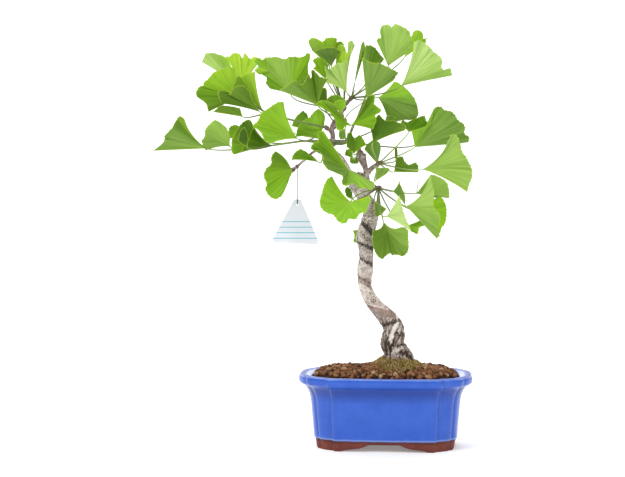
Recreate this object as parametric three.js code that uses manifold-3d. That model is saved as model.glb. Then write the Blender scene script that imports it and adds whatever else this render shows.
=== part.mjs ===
// Ginkgo bonsai in a glazed mokko pot, in millimetres, +Z up.
// The pot's long side lies along X and its front faces -Y. The crown leans to -X.
import * as THREE from 'three';
import { mergeVertices } from 'three/addons/utils/BufferGeometryUtils.js';
import Module from 'manifold-3d';

const wasm = await Module();
wasm.setup();

// ---------------------------------------------------------------- driving dimensions
const GAP = 0.3; // clearance between two pieces that touch
const DEG = Math.PI / 180;

const POT = { length: 171.4, depth: 126, floorUnder: 7.4, floorTop: 15 };
// One quarter of the mokko outline, from the side's middle nearly to the front's: a bowed side panel, a
// corner lobe between two soft grooves and the front panel. [x, y] at the rim, then [x, y] at MOKKO_INSET.
const MOKKO = [
  [85.7, 0, 69.8, 0], [84.7, 21, 69.3, 17], [81.8, 30, 67.6, 24], [78, 37, 65.4, 28],
  [75.9, 39.4, 63.6, 29.4], [75.2, 42.8, 62.8, 31.6], [72.2, 46.8, 60.4, 34.4], [62.4, 53, 54.2, 38.6],
  [57.6, 55.2, 51.2, 40.2], [55.6, 56.8, 49.9, 41.2], [54.6, 59.2, 49.2, 43.6], [52.3, 60.7, 47.3, 45],
  [38, 62, 34, 46.2],
];
const MOKKO_INSET = 16;
// The pot's wall from the foot's underside, out over the rim and down inside to the floor:
// [height, inset from the rim's outline].
const POT_WALL = [
  [0, 18], [9.6, 16.9], [10.6, 15.4], [45, 12.2], [52, 10.9], [57, 8.8], [60.9, 5.9],
  [63.4, 2], [65.4, 0.4], [69.4, 0], [71.4, 1], [72, 3], [70.4, 13.2], [50.2, 18], [17.5, 23], [15, 26],
];
// Half of the cloud-shaped opening between two feet: [share of its half-width, height].
const FOOT_ARCH = [[1.03, -1], [1, 0.6], [0.88, 1.8], [0.6, 3.1], [0.47, 4.8], [0.37, 6.9]];
const FOOT_ARCH_FRONT = 41;
const FOOT_ARCH_SIDE = 21;
const FOOT_RECESS = [50, 27]; // half-sizes of the hollow behind the feet
const DRAIN = { x: 30, radius: 6, screen: 22, screenThick: 1, bar: 2.5, cells: 3 };

const SOIL = { edge: 68.6, dome: 8.6, mound: 8.2, moundRadius: 21, grain: 0.9, floor: POT.floorTop + GAP };
const SOIL_WALL = [[68, 14.6], [62, 16.2], [50.2, 18.5], [17.5, 23.5]]; // [height, inset], top down
const FOOT = { depth: 34, sides: 12, radius: 11.5 }; // the trunk's foot, down into the soil and between roots

// A blade ripples by `wave` of its length, `ripple` radians from one margin point to the next, and its
// flanks are hollowed by the power `hollow`.
const BLADE = { thick: 0.7, rings: [0.45, 1], wave: 0.035, ripple: 2.1, hollow: 0.35 };
const PETIOLE = { radius: 0.72, sides: 4, steps: 3, sunk: 3, bend: 0.2 };
const SHOOT = { radius: 1.15, sides: 5 };
const BUD = { length: 6, radius: 2.3, sides: 6 };

const TAG = {
  top: [297.4, 199.5], width: 45.4, height: 43.5, apex: 7.5, corner: 3, thick: 0.8, hole: 1.2, holeDown: 5, tilt: 3,
};
const THREAD = { radius: 0.4, sides: 8, depth: -9.6 };

// ---------------------------------------------------------------- layout sheet
// The tree is laid out as it is seen from EYE. The sheet stands upright, square to the line of sight,
// at MIDDLE: `across` counts from its left edge and `down` from its top edge, both at full size.
// `depth` is the point's real y.
const SHEET = { width: 625, height: 477 };
const EYE = new THREE.Vector3(34, -1200, 205);
const MIDDLE = new THREE.Vector3(-73, 0, 205);
const SIGHT = MIDDLE.clone().sub(EYE);
const UP = new THREE.Vector3(0, 0, 1);
const ACROSS = SIGHT.clone().cross(UP).normalize();

function seen([across, down, depth]) {
  const ray = SIGHT.clone()
    .addScaledVector(ACROSS, across - SHEET.width / 2)
    .addScaledVector(UP, SHEET.height / 2 - down);
  return EYE.clone().addScaledVector(ray, (depth - EYE.y) / ray.y);
}

// ---------------------------------------------------------------- wood
// Each limb is a list of [across, down, depth, radius]. A limb's last point is its cut or living tip.
const TRUNK = [
  [396.5, 363, 0, 14], [396.5, 356, 0, 13.8], [395.4, 350.5, 0, 12.2], [392, 341.5, 0.5, 11],
  [394.3, 329, 1, 10], [387.6, 318, 2, 9.1], [375.4, 306.2, 3, 7.1], [367.2, 293, 4, 6.4],
  [364.8, 282, 4, 6.6], [365.4, 270, 3, 7.9], [366.4, 260, 1, 6.9], [365.8, 247, -1, 7.5],
  [364, 236, -2, 7.8], [367.8, 225, -2, 8], [370.4, 217, -2, 7.9], [371, 208.5, -1, 6], [368, 201.5, 0, 6],
  [361.5, 194, 1, 6.1], [353.5, 185, 3, 5.5], [347.8, 173.5, 5, 4.7], [341.2, 160.5, 6, 4.1],
  [329.8, 147, 6, 3.2], [332.8, 138, 5, 2.4], [332, 126, 4, 2.1], [338, 116.5, 4, 2], [346.5, 101, 4, 1.7],
];
const LIMBS = {
  top: [[338, 116.5, 4, 1.9], [344, 106.5, 4, 1.9], [350, 99.5, 4, 2]],
  crown: [[332.5, 124, 4, 1.9], [339, 116, 10, 1.9], [343, 110, 15, 1.9]],
  left: [[332, 141, 5, 2.3], [329, 141.2, 1, 2], [325.5, 141, -1, 1.8]],
  leftHigh: [[333, 135, 5, 2.2], [330.5, 131, 9, 1.9], [328, 129, 11, 1.7]],
  front: [[332, 129, 4, 2.1], [338, 124.5, -4, 1.9], [343, 121.5, -12, 1.7]],
  stem: [[361, 196, 1, 4.4], [366.5, 188, 0, 3.4], [366.8, 178, 0, 2.9], [365.3, 168, 1, 2.6],
    [361.3, 158, 1, 3.9], [359.8, 152.6, 0, 3.6]],
  knob: [[365.3, 167, 1, 2.5], [364, 159, 0, 2.5], [364.2, 153.8, -1, 2.2]],
  right: [[366.8, 174, 0, 2.7], [372.5, 167.5, -1, 2.4], [377, 164.5, -2, 2]],
  lowRight: [[363, 196, 1, 4.4], [368.5, 191.5, -1, 3.3], [372.5, 189.5, -3, 2.4], [376, 188.5, -4, 1.9]],
  stub: [[366.5, 179, 1, 2.8], [361, 175.5, 2, 3.2], [357, 174, 3, 2.7]],
  twig: [[330.5, 147.5, 5, 2.4], [326, 147.6, 0, 1.8], [315, 151, -4, 1.5], [304.5, 160, -8, 1.4],
    [297, 166.5, -10, 1.5], [294.5, 168.5, -10, 1.6]],
  back: [[330, 146, 6, 2.8], [337, 142.5, 15, 2.2], [346, 141.5, 24, 1.9]],
  sideLobe: [[398, 346, -4, 5], [401, 335, -4, 4.2], [400.2, 326, -3, 2.8]],
  knee: [[390, 349, -5, 6.4], [385.5, 341, -3, 4.6], [387, 335, -1, 2.4]],
};
const LIMB_SIDES = 6;
const TRUNK_SIDES = FOOT.sides;

// Buttress roots: [direction round the trunk, extra reach, half-angle].
const ROOTS = [[-8, 6, 24], [70, 3.5, 30], [150, 3.4, 28], [205, 2.2, 24], [262, 4.6, 30], [310, 2.6, 24]];

// ---------------------------------------------------------------- leaves
// Sprays: the limb that each stands on, its green, and the further points of its green shoot.
const SPRAYS = {
  left: { limb: 'left', green: 0x7fb52c, shoot: [[305, 141, -4], [272, 145.5, 0]] },
  left_high: { limb: 'leftHigh', green: 0x86bf2e, shoot: [[292, 120, 12], [266, 113, 10]] },
  top_left: { limb: 'crown', green: 0x93bd4a, shoot: [] },
  top: { limb: 'top', green: 0x8fbf52, shoot: [] },
  front: { limb: 'front', green: 0x76b016, shoot: [] },
  middle: { limb: 'stem', green: 0x6aa623, shoot: [] },
  right: { limb: 'right', green: 0x94c25c, shoot: [] },
  low_right: { limb: 'lowRight', green: 0x8cbd55, shoot: [] },
  twig: { limb: 'twig', green: 0x79ad2b, shoot: [] },
  back: { limb: 'back', green: 0x5f962c, shoot: [] },
};

// Leaves of each spray: [shoot point, base, [tip depth, tilt, bow], flanks, margin], depths in mm.
// The margin runs clockwise on the sheet as [across, down, fold]. Its depth is the tip's, with `tilt` added
// towards its end, `bow` at both ends and `fold` at the point. A flank of 0 is straight, 1 hollow.
const LEAVES = {
  left: [
    [2, [207, 148.5, 6], [14, -3, 3], [0, 0.8], [[153, 150.5], [159, 146], [163, 140.5], [164.5, 136],
        [170.5, 129], [174, 122, -2], [179, 116.5, -4], [184.5, 121]]],
    [2, [230, 146.5, 12], [2, 0, 6], [0.3, 0.3], [[205.5, 151], [201, 141], [204, 136], [204.5, 130],
        [209, 124], [215, 119.3], [222, 123.5], [227.5, 129.5], [230.5, 138]]],
    [2, [271, 145, 0], [-8, 0, 0], [0.3, 0.3], [[254, 127.5, -9], [249.5, 133.5, -12], [248, 139.5, -13],
        [244, 147.5, -11], [239.5, 151.5, -8], [231.5, 152.5, -2], [231, 145, 3], [232, 136.5, 7],
        [236, 130.5, 9], [241, 123.5, 9], [247, 119.5, 7], [252.5, 125, 3]]],
    [1, [262, 141, 24], [30, 0, 0], [0, 0], [[229, 138], [228, 129], [232, 125.5], [238, 125.5],
        [243, 128]]],
    [1, [298, 139, -16], [-30, 0, 4], [0.4, 0.4], [[271, 143.5], [264, 140], [261, 134], [252, 126],
        [257, 121.5], [261, 112], [267, 108.5], [273, 104.5], [278, 101.5], [283.5, 101.5]]],
    [1, [314, 134, 26], [34, 0, 0], [0.3, 0.3], [[291, 126], [293, 121], [298, 114.5], [303.5, 110],
        [307, 114]]],
    [1, [320, 140, 14], [22, 0, 0], [0.3, 0.3], [[295, 137], [297, 128], [303, 120.5], [308.5, 117],
        [313, 112], [319, 109], [325.5, 116], [325, 121], [322, 128]]],
    [0, [319, 162.5, -22], [-30, 0, 0], [0.3, 0.3], [[291, 160], [293.5, 153.5], [300.5, 148.5],
        [305.5, 151], [307.5, 156], [312, 155], [314, 159.5]]],
  ],
  left_high: [
    [2, [238, 85, 42], [56, 0, 0], [0.2, 0.2], [[201, 61.5], [205, 54.5], [213, 53.2], [221, 54],
        [228, 58]]],
    [2, [242, 88, 28], [34, 0, 0], [0.2, 0.2], [[226, 56], [229.5, 55.5], [233, 53], [240, 53.8], [242, 57],
        [245, 53], [250, 58], [254, 56], [262, 59]]],
    [2, [241, 99, 14], [10, 0, 4], [0.2, 0.2], [[208.5, 112], [205, 103.5], [195.5, 95.5], [197, 89],
        [200, 86], [202.5, 87], [203, 83], [208, 78], [213, 72], [220, 69.5], [231, 66.5], [238, 70]]],
    [2, [262.5, 110, 4], [-2, 0, 0], [0.5, 0.5], [[229.5, 92], [233.5, 84], [237, 75.5], [241, 76.5],
        [246, 73], [255, 71.5]]],
    [2, [260.5, 112.3, 0], [-18, 0, 0], [0.4, 0.4], [[222, 103.5, -2], [218, 98, -5], [218, 91, -3],
        [225, 90.5], [229, 93.5, 2], [233, 88], [240, 85.3], [245, 85.5], [248.5, 91]]],
    [2, [243, 117, 6], [4, 0, 0], [0.1, 0.1], [[213, 112], [216, 108.5], [220, 105.5], [231, 106],
        [240, 108]]],
  ],
  top_left: [
    [0, [291, 95, 14], [26, 0, 0], [0.2, 0.2], [[279, 90], [269, 88.5], [265.5, 83], [267, 77], [257, 71],
        [262, 60.5], [268, 57.5], [280, 56.7], [285, 58.5], [291, 56.5], [299, 56.2], [305, 55],
        [309.3, 53], [309, 66], [308.5, 74]]],
    [0, [326, 80, 6], [2, 0, 0], [0.2, 0.2], [[313, 68.5], [315.5, 64], [312.5, 60], [317.5, 56.7],
        [323, 59], [328.5, 65]]],
    [0, [331.5, 67, 22], [-4, 0, 4], [0.3, 0.3], [[314, 52], [321, 47.5], [329, 47.3], [337, 49],
        [341, 51]]],
    [0, [327, 64, 40], [26, 0, 0], [0, 0], [[312, 50.5], [307.5, 41], [311, 37.8], [317, 38.5], [323, 40.5],
        [326, 38], [331, 37], [337, 37.5], [337.5, 42], [341, 41], [345, 44]]],
    [0, [336, 67, 14], [12, 0, 0], [0, 0], [[336, 58], [339.5, 50.5], [338.5, 45], [343, 44], [345.5, 47.5],
        [346.5, 52], [350.5, 54.5], [348, 60]]],
    [0, [347, 66, 22], [34, 0, 0], [0, 0], [[349, 48], [349.5, 41], [352.5, 40], [354, 43], [352, 50]]],
    [0, [328, 109, 20], [14, 0, 0], [0.2, 0.2], [[313.5, 101], [315, 94], [319.5, 88.5], [325, 87.5],
        [326.5, 99]]],
  ],
  top: [
    [0, [346.8, 92.5, -12], [-24, 0, 0], [0.3, 0.3], [[325.5, 82.5], [326.5, 77], [325, 65.5], [330, 68.5],
        [333, 66], [338.5, 62.3], [345, 61], [349, 54], [353, 47]]],
    [0, [354.5, 84, 4], [-4, 4, 0], [0, 0], [[359, 70], [361, 57], [361.2, 41.5], [364.5, 42], [365, 49.5],
        [362.5, 60]]],
    [0, [366, 82, 26], [38, 0, 0], [0.2, 0.2], [[363, 57], [364, 48.5], [366.5, 44], [371, 45.2],
        [376, 48.8], [381, 54], [384, 58.5], [379.5, 62.5]]],
    [0, [366, 98, -14], [-26, 0, 0], [0, 0], [[362.3, 57.5], [368, 60.7], [374, 62.4], [379, 62],
        [385, 65.2], [393, 68.8], [399, 72.3], [395.5, 75.5], [393.6, 80.8]]],
    [0, [388.2, 66, 10], [2, 0, 3], [0, 0], [[376.2, 40.5], [378.5, 37.5], [380.6, 37], [380.5, 28],
        [383, 24.6], [389, 24.2], [391.8, 27], [395, 23.4], [402.5, 26], [408.8, 30], [411.4, 36],
        [413.7, 41.5], [411, 49.8]]],
    [0, [404, 58, 34], [46, 0, 0], [0, 0], [[413, 39], [414, 31.8], [418, 28.9], [422, 31.8], [424, 39],
        [427.5, 36.5], [426, 42]]],
    [0, [401, 86, -18], [-32, 0, 0], [0.5, 0], [[414, 42], [418.5, 39.3], [422.3, 40.8], [427, 44.2],
        [431, 47], [434, 51.5], [439, 55], [443.2, 59.5], [442, 67.5, -2], [450.7, 68.3, -9],
        [452.6, 73.8, -3]]],
    [0, [378, 97.5, 4], [16, 0, 0], [0.2, 0.2], [[394, 81.5], [401, 84.3], [408, 88.8], [413.3, 96],
        [417, 104], [419, 109], [418.2, 116.5], [412, 119.8], [400, 119.5], [386.5, 115]]],
  ],
  front: [
    [0, [318, 105.5, -18], [-32, 0, 0], [0, 0.4], [[279, 90], [288, 84], [294, 80.5], [298, 83.5],
        [303, 82.5], [306.5, 77.5], [309, 73.3], [310.8, 77.5], [312.5, 69.5], [318, 74], [324, 77.5],
        [328.3, 79]]],
    [0, [351.5, 125, -32], [-48, 0, 0], [0.3, 0.3], [[366, 99], [371, 95.5], [375.7, 95.8], [375.5, 104],
        [381, 110.2], [376.7, 114], [377, 119.5], [374, 125.5], [373, 130], [368.5, 128.3]]],
    [0, [350, 125, -30], [-42, 0, 0], [0.5, 0.5], [[343, 131], [336.5, 130], [335.5, 121], [329, 111.5],
        [322, 107], [316.5, 102.8], [323, 100], [330, 101.5], [335, 107]]],
    [0, [342, 110.5, -6], [-11, 0, 0], [0, 0], [[326, 100], [330, 95.5], [337, 94.5], [343, 97],
        [346.5, 102]]],
  ],
  middle: [
    [0, [354, 154, -18], [-24, 0, 0], [0.3, 0.3], [[346.5, 147], [347.5, 133.5], [350.7, 131], [354, 137],
        [355.5, 139], [358.5, 134.2], [362.3, 137], [366.5, 145]]],
  ],
  right: [
    [0, [422.5, 169.5, -16], [-28, 0, 0], [1, 0.2], [[447, 141.5], [450, 136], [454, 134], [459, 137.3],
        [461, 144], [463, 152.5], [467, 157], [471, 164.5], [472.5, 171], [472, 180], [469.5, 186],
        [467, 192]]],
    [0, [415, 147, 6], [-2, 0, 0], [0, 0], [[411.5, 131], [420, 128], [429.5, 123.8], [432.3, 116.5],
        [437.3, 106.5], [442, 106.5], [445, 109.5], [452, 111.2], [456.3, 115.5], [459, 120], [464.3, 124],
        [466, 128], [465.2, 133.5], [469.5, 137], [468.7, 142.5], [462, 143.2]]],
    [0, [372.5, 143.5, -16], [-26, 0, 0], [0.3, 0.3], [[370.5, 129.5], [374, 121], [379, 114.5],
        [384.5, 119.5], [394, 120], [398.2, 122], [406.5, 126.5], [405, 131]]],
    [0, [409, 132, 12], [6, 0, 0], [0.1, 0.1], [[400, 125], [402, 120], [407, 121.7], [412, 119],
        [418, 117.5], [425, 115.5], [427, 120.5], [429.5, 125], [424, 129]]],
    [0, [394, 172, -6], [-8, 0, 0], [0, 0], [[396.5, 157.5], [402.3, 155.8], [406, 162], [412.3, 165.5],
        [416, 162], [419, 166.7], [418, 172.5]]],
    [0, [375.5, 181, -14], [-20, 0, 0], [0.1, 0.1], [[375.5, 166.8], [382, 167.3], [389, 168], [390, 170],
        [386.5, 174]]],
    [0, [377.5, 164, 10], [22, 0, 0], [0, 0], [[364.5, 149.5], [367, 144], [372.5, 139.7], [379, 142],
        [380, 151]]],
  ],
  low_right: [
    [0, [349, 170.5, -34], [-60, 0, 12], [0, 0], [[374, 182], [374, 188], [370.5, 191], [366, 187],
        [359.5, 189], [353, 184.5], [343.5, 185], [342, 177], [331, 172], [324, 164], [322, 157],
        [317, 151], [312, 148], [312, 143], [318, 139.5], [318.5, 131], [323.5, 131]]],
    [0, [406, 206, -38], [-50, 0, 0], [0.5, 0], [[430.5, 175.5], [432.5, 185], [435, 192.5], [434.2, 206],
        [436.5, 211], [441, 214.5], [440, 223], [438.2, 231], [440.5, 235.6], [437.2, 239.2]]],
    [0, [416.5, 193.5, 14], [20, 0, 0], [0, 0], [[431, 174.5], [439, 176.2], [446.5, 181], [449, 188],
        [449.5, 198.5], [443, 196], [437, 198]]],
    [0, [413, 210, -4], [-6, 0, 0], [0, 0], [[436, 199.5], [441, 196.5], [446, 203.5], [447.3, 213],
        [445.5, 224], [442, 228.5], [440, 234]]],
    [0, [392.5, 191.5, -10], [-18, 0, 0], [0.3, 0.3], [[399.5, 181], [401, 184.5], [404.2, 192],
        [405.6, 199], [405.8, 205.5]]],
    [0, [386.5, 216.5, -50], [-60, 0, 0], [0.1, 0.1], [[399.3, 195.5], [401.6, 203], [404.3, 211],
        [407.8, 222.5], [411.5, 231.5]]],
    [0, [407, 226, -40], [-44, 0, 0], [0, 0], [[416, 222.5], [425, 218.7], [427.3, 221.3], [426.3, 225],
        [419.8, 228.3], [418, 234.2], [411.5, 232]]],
    [0, [374.5, 200.5, -14], [-16, 0, 0], [0, 0], [[386.5, 208.7], [383.5, 213.5], [380, 216.3],
        [376.6, 217.2], [374.8, 210]]],
    [0, [383.3, 221, -16], [-20, 0, 0], [1, 1], [[400.5, 227], [408, 230], [409, 238], [409, 249],
        [406, 255], [402, 257], [397, 255.3], [393, 255.7], [389.5, 254.3], [382, 259.6], [376.5, 255],
        [373, 248], [372, 236], [373, 230]]],
    [0, [350.5, 201.5, -44], [-50, 0, 0], [0.3, 0.3], [[369.5, 195.5], [371, 200], [368, 207], [366.5, 213],
        [361, 213.5], [355, 220], [350, 219.5], [345, 224], [338, 222], [333, 216], [326, 213], [320, 207],
        [319, 200], [321, 194], [324, 184], [327.5, 178], [332, 176]]],
    [0, [366, 232, 26], [30, 0, 0], [0, 0], [[358, 243.5], [353.5, 242], [354, 236], [352.5, 230.8],
        [357, 230]]],
  ],
  twig: [
    [0, [291.5, 169.3, -12], [-20, 0, 0], [-0.3, -0.4], [[291, 176], [286.5, 182], [283, 192], [278, 199.5],
        [272, 199], [265, 190], [266, 184.5], [263, 176], [265.5, 169], [270.2, 164], [270.6, 157],
        [275, 151]]],
  ],
  back: [
    [0, [318, 100, 40], [60, 0, 4], [0.4, 0.4], [[281, 80], [284, 70], [292, 65], [300, 63], [306, 67]]],
    [0, [366, 94, 48], [66, 0, 4], [0.4, 0.4], [[364, 80], [369, 69], [382, 68], [389, 77]]],
    [0, [382, 126, 44], [64, 0, 4], [0.4, 0.4], [[388, 108], [398, 104], [408, 106], [412, 113],
        [408, 120]]],
    [0, [296, 134, 46], [60, 0, 4], [0.4, 0.4], [[272, 136], [263, 127], [265, 115], [274, 109]]],
    [0, [417, 144, 36], [48, 0, 4], [0.4, 0.4], [[428, 126], [437, 120], [446, 122], [452, 130],
        [452, 139]]],
    [0, [354, 123, 56], [78, 0, 4], [0.4, 0.4], [[360, 108], [364, 101], [370, 99], [374, 106],
        [375, 114]]],
  ],
};

// ---------------------------------------------------------------- closed meshes
function meshOf(points, faces) {
  const geometry = new THREE.BufferGeometry();
  const positions = points.flatMap((p) => [p.x, p.y, p.z]);
  geometry.setAttribute('position', new THREE.Float32BufferAttribute(positions, 3));
  geometry.setIndex(faces.flat());
  return geometry;
}

// Rings of equal length, each turning anticlockwise about the direction in which they follow each other.
function loft(rings) {
  const count = rings[0].length;
  const middle = (ring) => ring.reduce((sum, p) => sum.add(p), new THREE.Vector3()).divideScalar(count);
  const points = [middle(rings[0]), ...rings.flat(), middle(rings.at(-1))];
  const last = points.length - 1;
  const faces = [];
  for (let i = 0; i < count; i += 1) {
    const j = (i + 1) % count;
    faces.push([0, 1 + j, 1 + i]);
    for (let k = 0; k < rings.length - 1; k += 1) {
      const here = 1 + k * count;
      const next = here + count;
      faces.push([here + i, here + j, next + j], [here + i, next + j, next + i]);
    }
    const end = 1 + (rings.length - 1) * count;
    faces.push([last, end + i, end + j]);
  }
  return meshOf(points, faces);
}

// A tube through `path`, whose rings keep one side towards `start` and have radius(step, angle).
function tube(path, radius, sides, start = new THREE.Vector3(1, 0, 0)) {
  const side = start.clone();
  const rings = path.map((point, k) => {
    const tangent = path[Math.min(k + 1, path.length - 1)].clone().sub(path[Math.max(k - 1, 0)]).normalize();
    if (Math.abs(side.dot(tangent)) > 0.95) {
      side.set(0, 1, 0);
    }
    side.addScaledVector(tangent, -side.dot(tangent)).normalize();
    const other = tangent.clone().cross(side);
    return Array.from({ length: sides }, (_, i) => {
      const angle = (i / sides) * 2 * Math.PI;
      const reach = radius(k, angle);
      return point.clone().addScaledVector(side, Math.cos(angle) * reach).addScaledVector(other, Math.sin(angle) * reach);
    });
  });
  return loft(rings);
}

function solidOf(geometry) {
  const bare = geometry.clone();
  bare.deleteAttribute('normal');
  bare.deleteAttribute('uv');
  const merged = mergeVertices(bare, 1e-4);
  return new wasm.Manifold(new wasm.Mesh({
    numProp: 3,
    vertProperties: new Float32Array(merged.attributes.position.array),
    triVerts: new Uint32Array(merged.index.array),
  }));
}

function geometryOf(solid) {
  const { vertProperties, triVerts } = solid.getMesh();
  const geometry = new THREE.BufferGeometry();
  geometry.setAttribute('position', new THREE.Float32BufferAttribute(vertProperties, 3));
  geometry.setIndex(new THREE.Uint32BufferAttribute(triVerts, 1));
  return geometry;
}

const unionOf = (geometries) => geometryOf(geometries.map(solidOf).reduce((sum, solid) => sum.add(solid)));

// A flat outline in X and Z, `length` long and centred along Y.
function prismAlongY(outline, length) {
  const shape = new THREE.Shape(outline.map(([x, z]) => new THREE.Vector2(x, z)));
  const geometry = new THREE.ExtrudeGeometry(shape, { depth: length, bevelEnabled: false });
  return geometry.rotateX(Math.PI / 2).translate(0, length / 2, 0);
}

// ---------------------------------------------------------------- pot
function quarterOutline(inset) {
  const share = inset / MOKKO_INSET;
  return MOKKO.map(([rimX, rimY, footX, footY]) => (
    [THREE.MathUtils.lerp(rimX, footX, share), THREE.MathUtils.lerp(rimY, footY, share)]
  ));
}

// The whole outline, anticlockwise from +X.
function potOutline(inset) {
  const quarter = quarterOutline(inset);
  const top = [0, POT.depth / 2 - inset];
  const firstHalf = [...quarter, top, ...quarter.slice(1).reverse().map(([x, y]) => [-x, y])];
  return [...firstHalf, ...firstHalf.map(([x, y]) => [-x, -y])];
}

const ringAt = (outline, z) => outline.map(([x, y]) => new THREE.Vector3(x, y, z));

function footArch(halfWidth) {
  const right = FOOT_ARCH.map(([share, z]) => [share * halfWidth, z]);
  return [...right, ...right.toReversed().map(([x, z]) => [-x, z])];
}

function makePot() {
  const body = solidOf(loft(POT_WALL.map(([z, inset]) => ringAt(potOutline(inset), z))));
  const across = POT.length + POT.depth;
  const frontArch = solidOf(prismAlongY(footArch(FOOT_ARCH_FRONT), across));
  const sideArch = solidOf(prismAlongY(footArch(FOOT_ARCH_SIDE), across).rotateZ(Math.PI / 2));
  const [halfX, halfY] = FOOT_RECESS;
  const recess = new THREE.BoxGeometry(2 * halfX, 2 * halfY, 2 * POT.floorUnder);
  const drains = [-DRAIN.x, DRAIN.x].map((x) => (
    solidOf(new THREE.CylinderGeometry(DRAIN.radius, DRAIN.radius, 4 * POT.floorTop, 16).rotateX(Math.PI / 2).translate(x, 0, 0))
  ));
  return geometryOf([frontArch, sideArch, solidOf(recess), ...drains].reduce((rest, cut) => rest.subtract(cut), body));
}

// A square plastic screen with square holes, which keeps the soil above a drain.
function makeScreen(x) {
  const { screen, screenThick, bar, cells } = DRAIN;
  const pitch = (screen - bar) / cells;
  const box = (width, height) => solidOf(new THREE.BoxGeometry(width, width, height));
  let plate = box(screen, screenThick);
  for (let row = 0; row < cells; row += 1) {
    for (let column = 0; column < cells; column += 1) {
      const offset = (step) => (step - (cells - 1) / 2) * pitch;
      plate = plate.subtract(box(pitch - bar, 3 * screenThick).translate([offset(column), offset(row), 0]));
    }
  }
  return geometryOf(plate).translate(x, 0, POT.floorTop + GAP + screenThick / 2);
}

// ---------------------------------------------------------------- trunk
const footMiddle = seen(TRUNK[0]);

// How far a corner of the foot reaches out in a direction.
function footReach(angle) {
  return ROOTS.reduce((reach, [direction, extra, half]) => {
    const away = Math.atan2(Math.sin(angle - direction * DEG), Math.cos(angle - direction * DEG));
    return reach + extra * Math.exp(-((away / (half * DEG)) ** 2));
  }, FOOT.radius);
}

// The foot's outline at height z, wider all round by `extra`.
function footRing(z, extra) {
  return Array.from({ length: FOOT.sides }, (_, i) => {
    const angle = (i / FOOT.sides) * 2 * Math.PI;
    const reach = footReach(angle) + extra;
    return new THREE.Vector3(footMiddle.x + reach * Math.cos(angle), footMiddle.y + reach * Math.sin(angle), z);
  });
}

// Points and radii along a limb, smoothed to `parts` steps between two given points.
function smoothLimb(limb, parts) {
  const curve = new THREE.CatmullRomCurve3(limb.map(seen), false, 'centripetal');
  const steps = (limb.length - 1) * parts;
  const path = Array.from({ length: steps + 1 }, (_, k) => curve.getPoint(k / steps));
  const radii = path.map((_, k) => {
    const at = Math.min(Math.floor(k / parts), limb.length - 2);
    return THREE.MathUtils.lerp(limb[at][3], limb[at + 1][3], k / parts - at);
  });
  return { path, radii };
}

const FLARE_STEPS = 4; // steps over which the buttress roots fade into the round trunk
const SPIRAL = 0.55; // turn of the bark's ridges, radians a step

function makeTrunk() {
  const { path, radii } = smoothLimb(TRUNK, 2);
  path.unshift(new THREE.Vector3(footMiddle.x, footMiddle.y, footMiddle.z - FOOT.depth));
  radii.unshift(radii[0]);
  const radius = (k, angle) => {
    const flare = Math.max(0, 1 - Math.max(0, k - 2) / FLARE_STEPS);
    const ridges = 1 + 0.05 * Math.sin(3 * angle + k * SPIRAL) + 0.03 * Math.sin(5 * angle - k * 1.3);
    return THREE.MathUtils.lerp(radii[k] * ridges, footReach(angle), flare ** 1.6);
  };
  const limbs = Object.values(LIMBS).map((limb) => {
    const smooth = smoothLimb(limb, 1);
    return tube(smooth.path, (k) => smooth.radii[k], LIMB_SIDES);
  });
  return unionOf([tube(path, radius, TRUNK_SIDES), ...limbs]);
}

// ---------------------------------------------------------------- soil
function soilHeight(x, y) {
  const middle = 1 - (x / (POT.length / 2 - SOIL_WALL[0][1])) ** 2;
  const deep = 1 - (y / (POT.depth / 2 - SOIL_WALL[0][1])) ** 2;
  const dome = Math.sqrt(Math.max(0, Math.min(middle, deep))) * SOIL.dome;
  const fromTrunk = Math.hypot(x - footMiddle.x, y - footMiddle.y) / SOIL.moundRadius;
  const grain = SOIL.grain * Math.sin(1.3 * x + 0.4 * y) * Math.sin(1.7 * y - 0.3 * x);
  return SOIL.edge + dome + SOIL.mound * Math.exp(-(fromTrunk ** 2)) + grain;
}

function makeSoil() {
  const outline = potOutline(SOIL_WALL[0][1]);
  const wall = SOIL_WALL.map(([z, inset]) => ringAt(potOutline(inset), z));
  const floor = ringAt(potOutline(POT_WALL.at(-1)[1] + GAP), SOIL.floor);
  const surface = [0.86, 0.55, 0.27].map((share) => outline.map((p) => {
    const x = THREE.MathUtils.lerp(footMiddle.x, p[0], share);
    const y = THREE.MathUtils.lerp(footMiddle.y, p[1], share);
    return new THREE.Vector3(x, y, soilHeight(x, y));
  }));
  const soil = solidOf(loft([floor, ...wall.toReversed(), ...surface]));
  const hole = solidOf(loft([
    footRing(footMiddle.z - FOOT.depth - GAP, 2 * GAP),
    footRing(footMiddle.z + FOOT.depth, 2 * GAP),
  ]));
  const pocket = DRAIN.screen + 2 * GAP;
  const pockets = [-DRAIN.x, DRAIN.x].map((x) => (
    solidOf(new THREE.BoxGeometry(pocket, pocket, 2 * (DRAIN.screenThick + 2 * GAP)).translate(x, 0, POT.floorTop))
  ));
  return geometryOf([hole, ...pockets].reduce((rest, cut) => rest.subtract(cut), soil));
}

// ---------------------------------------------------------------- leaf
// A repeatable draw between 0 and 1.
const draw = (seed) => {
  const value = Math.sin(seed * 127.1 + 311.7) * 43758.5453;
  return value - Math.floor(value);
};

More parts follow.
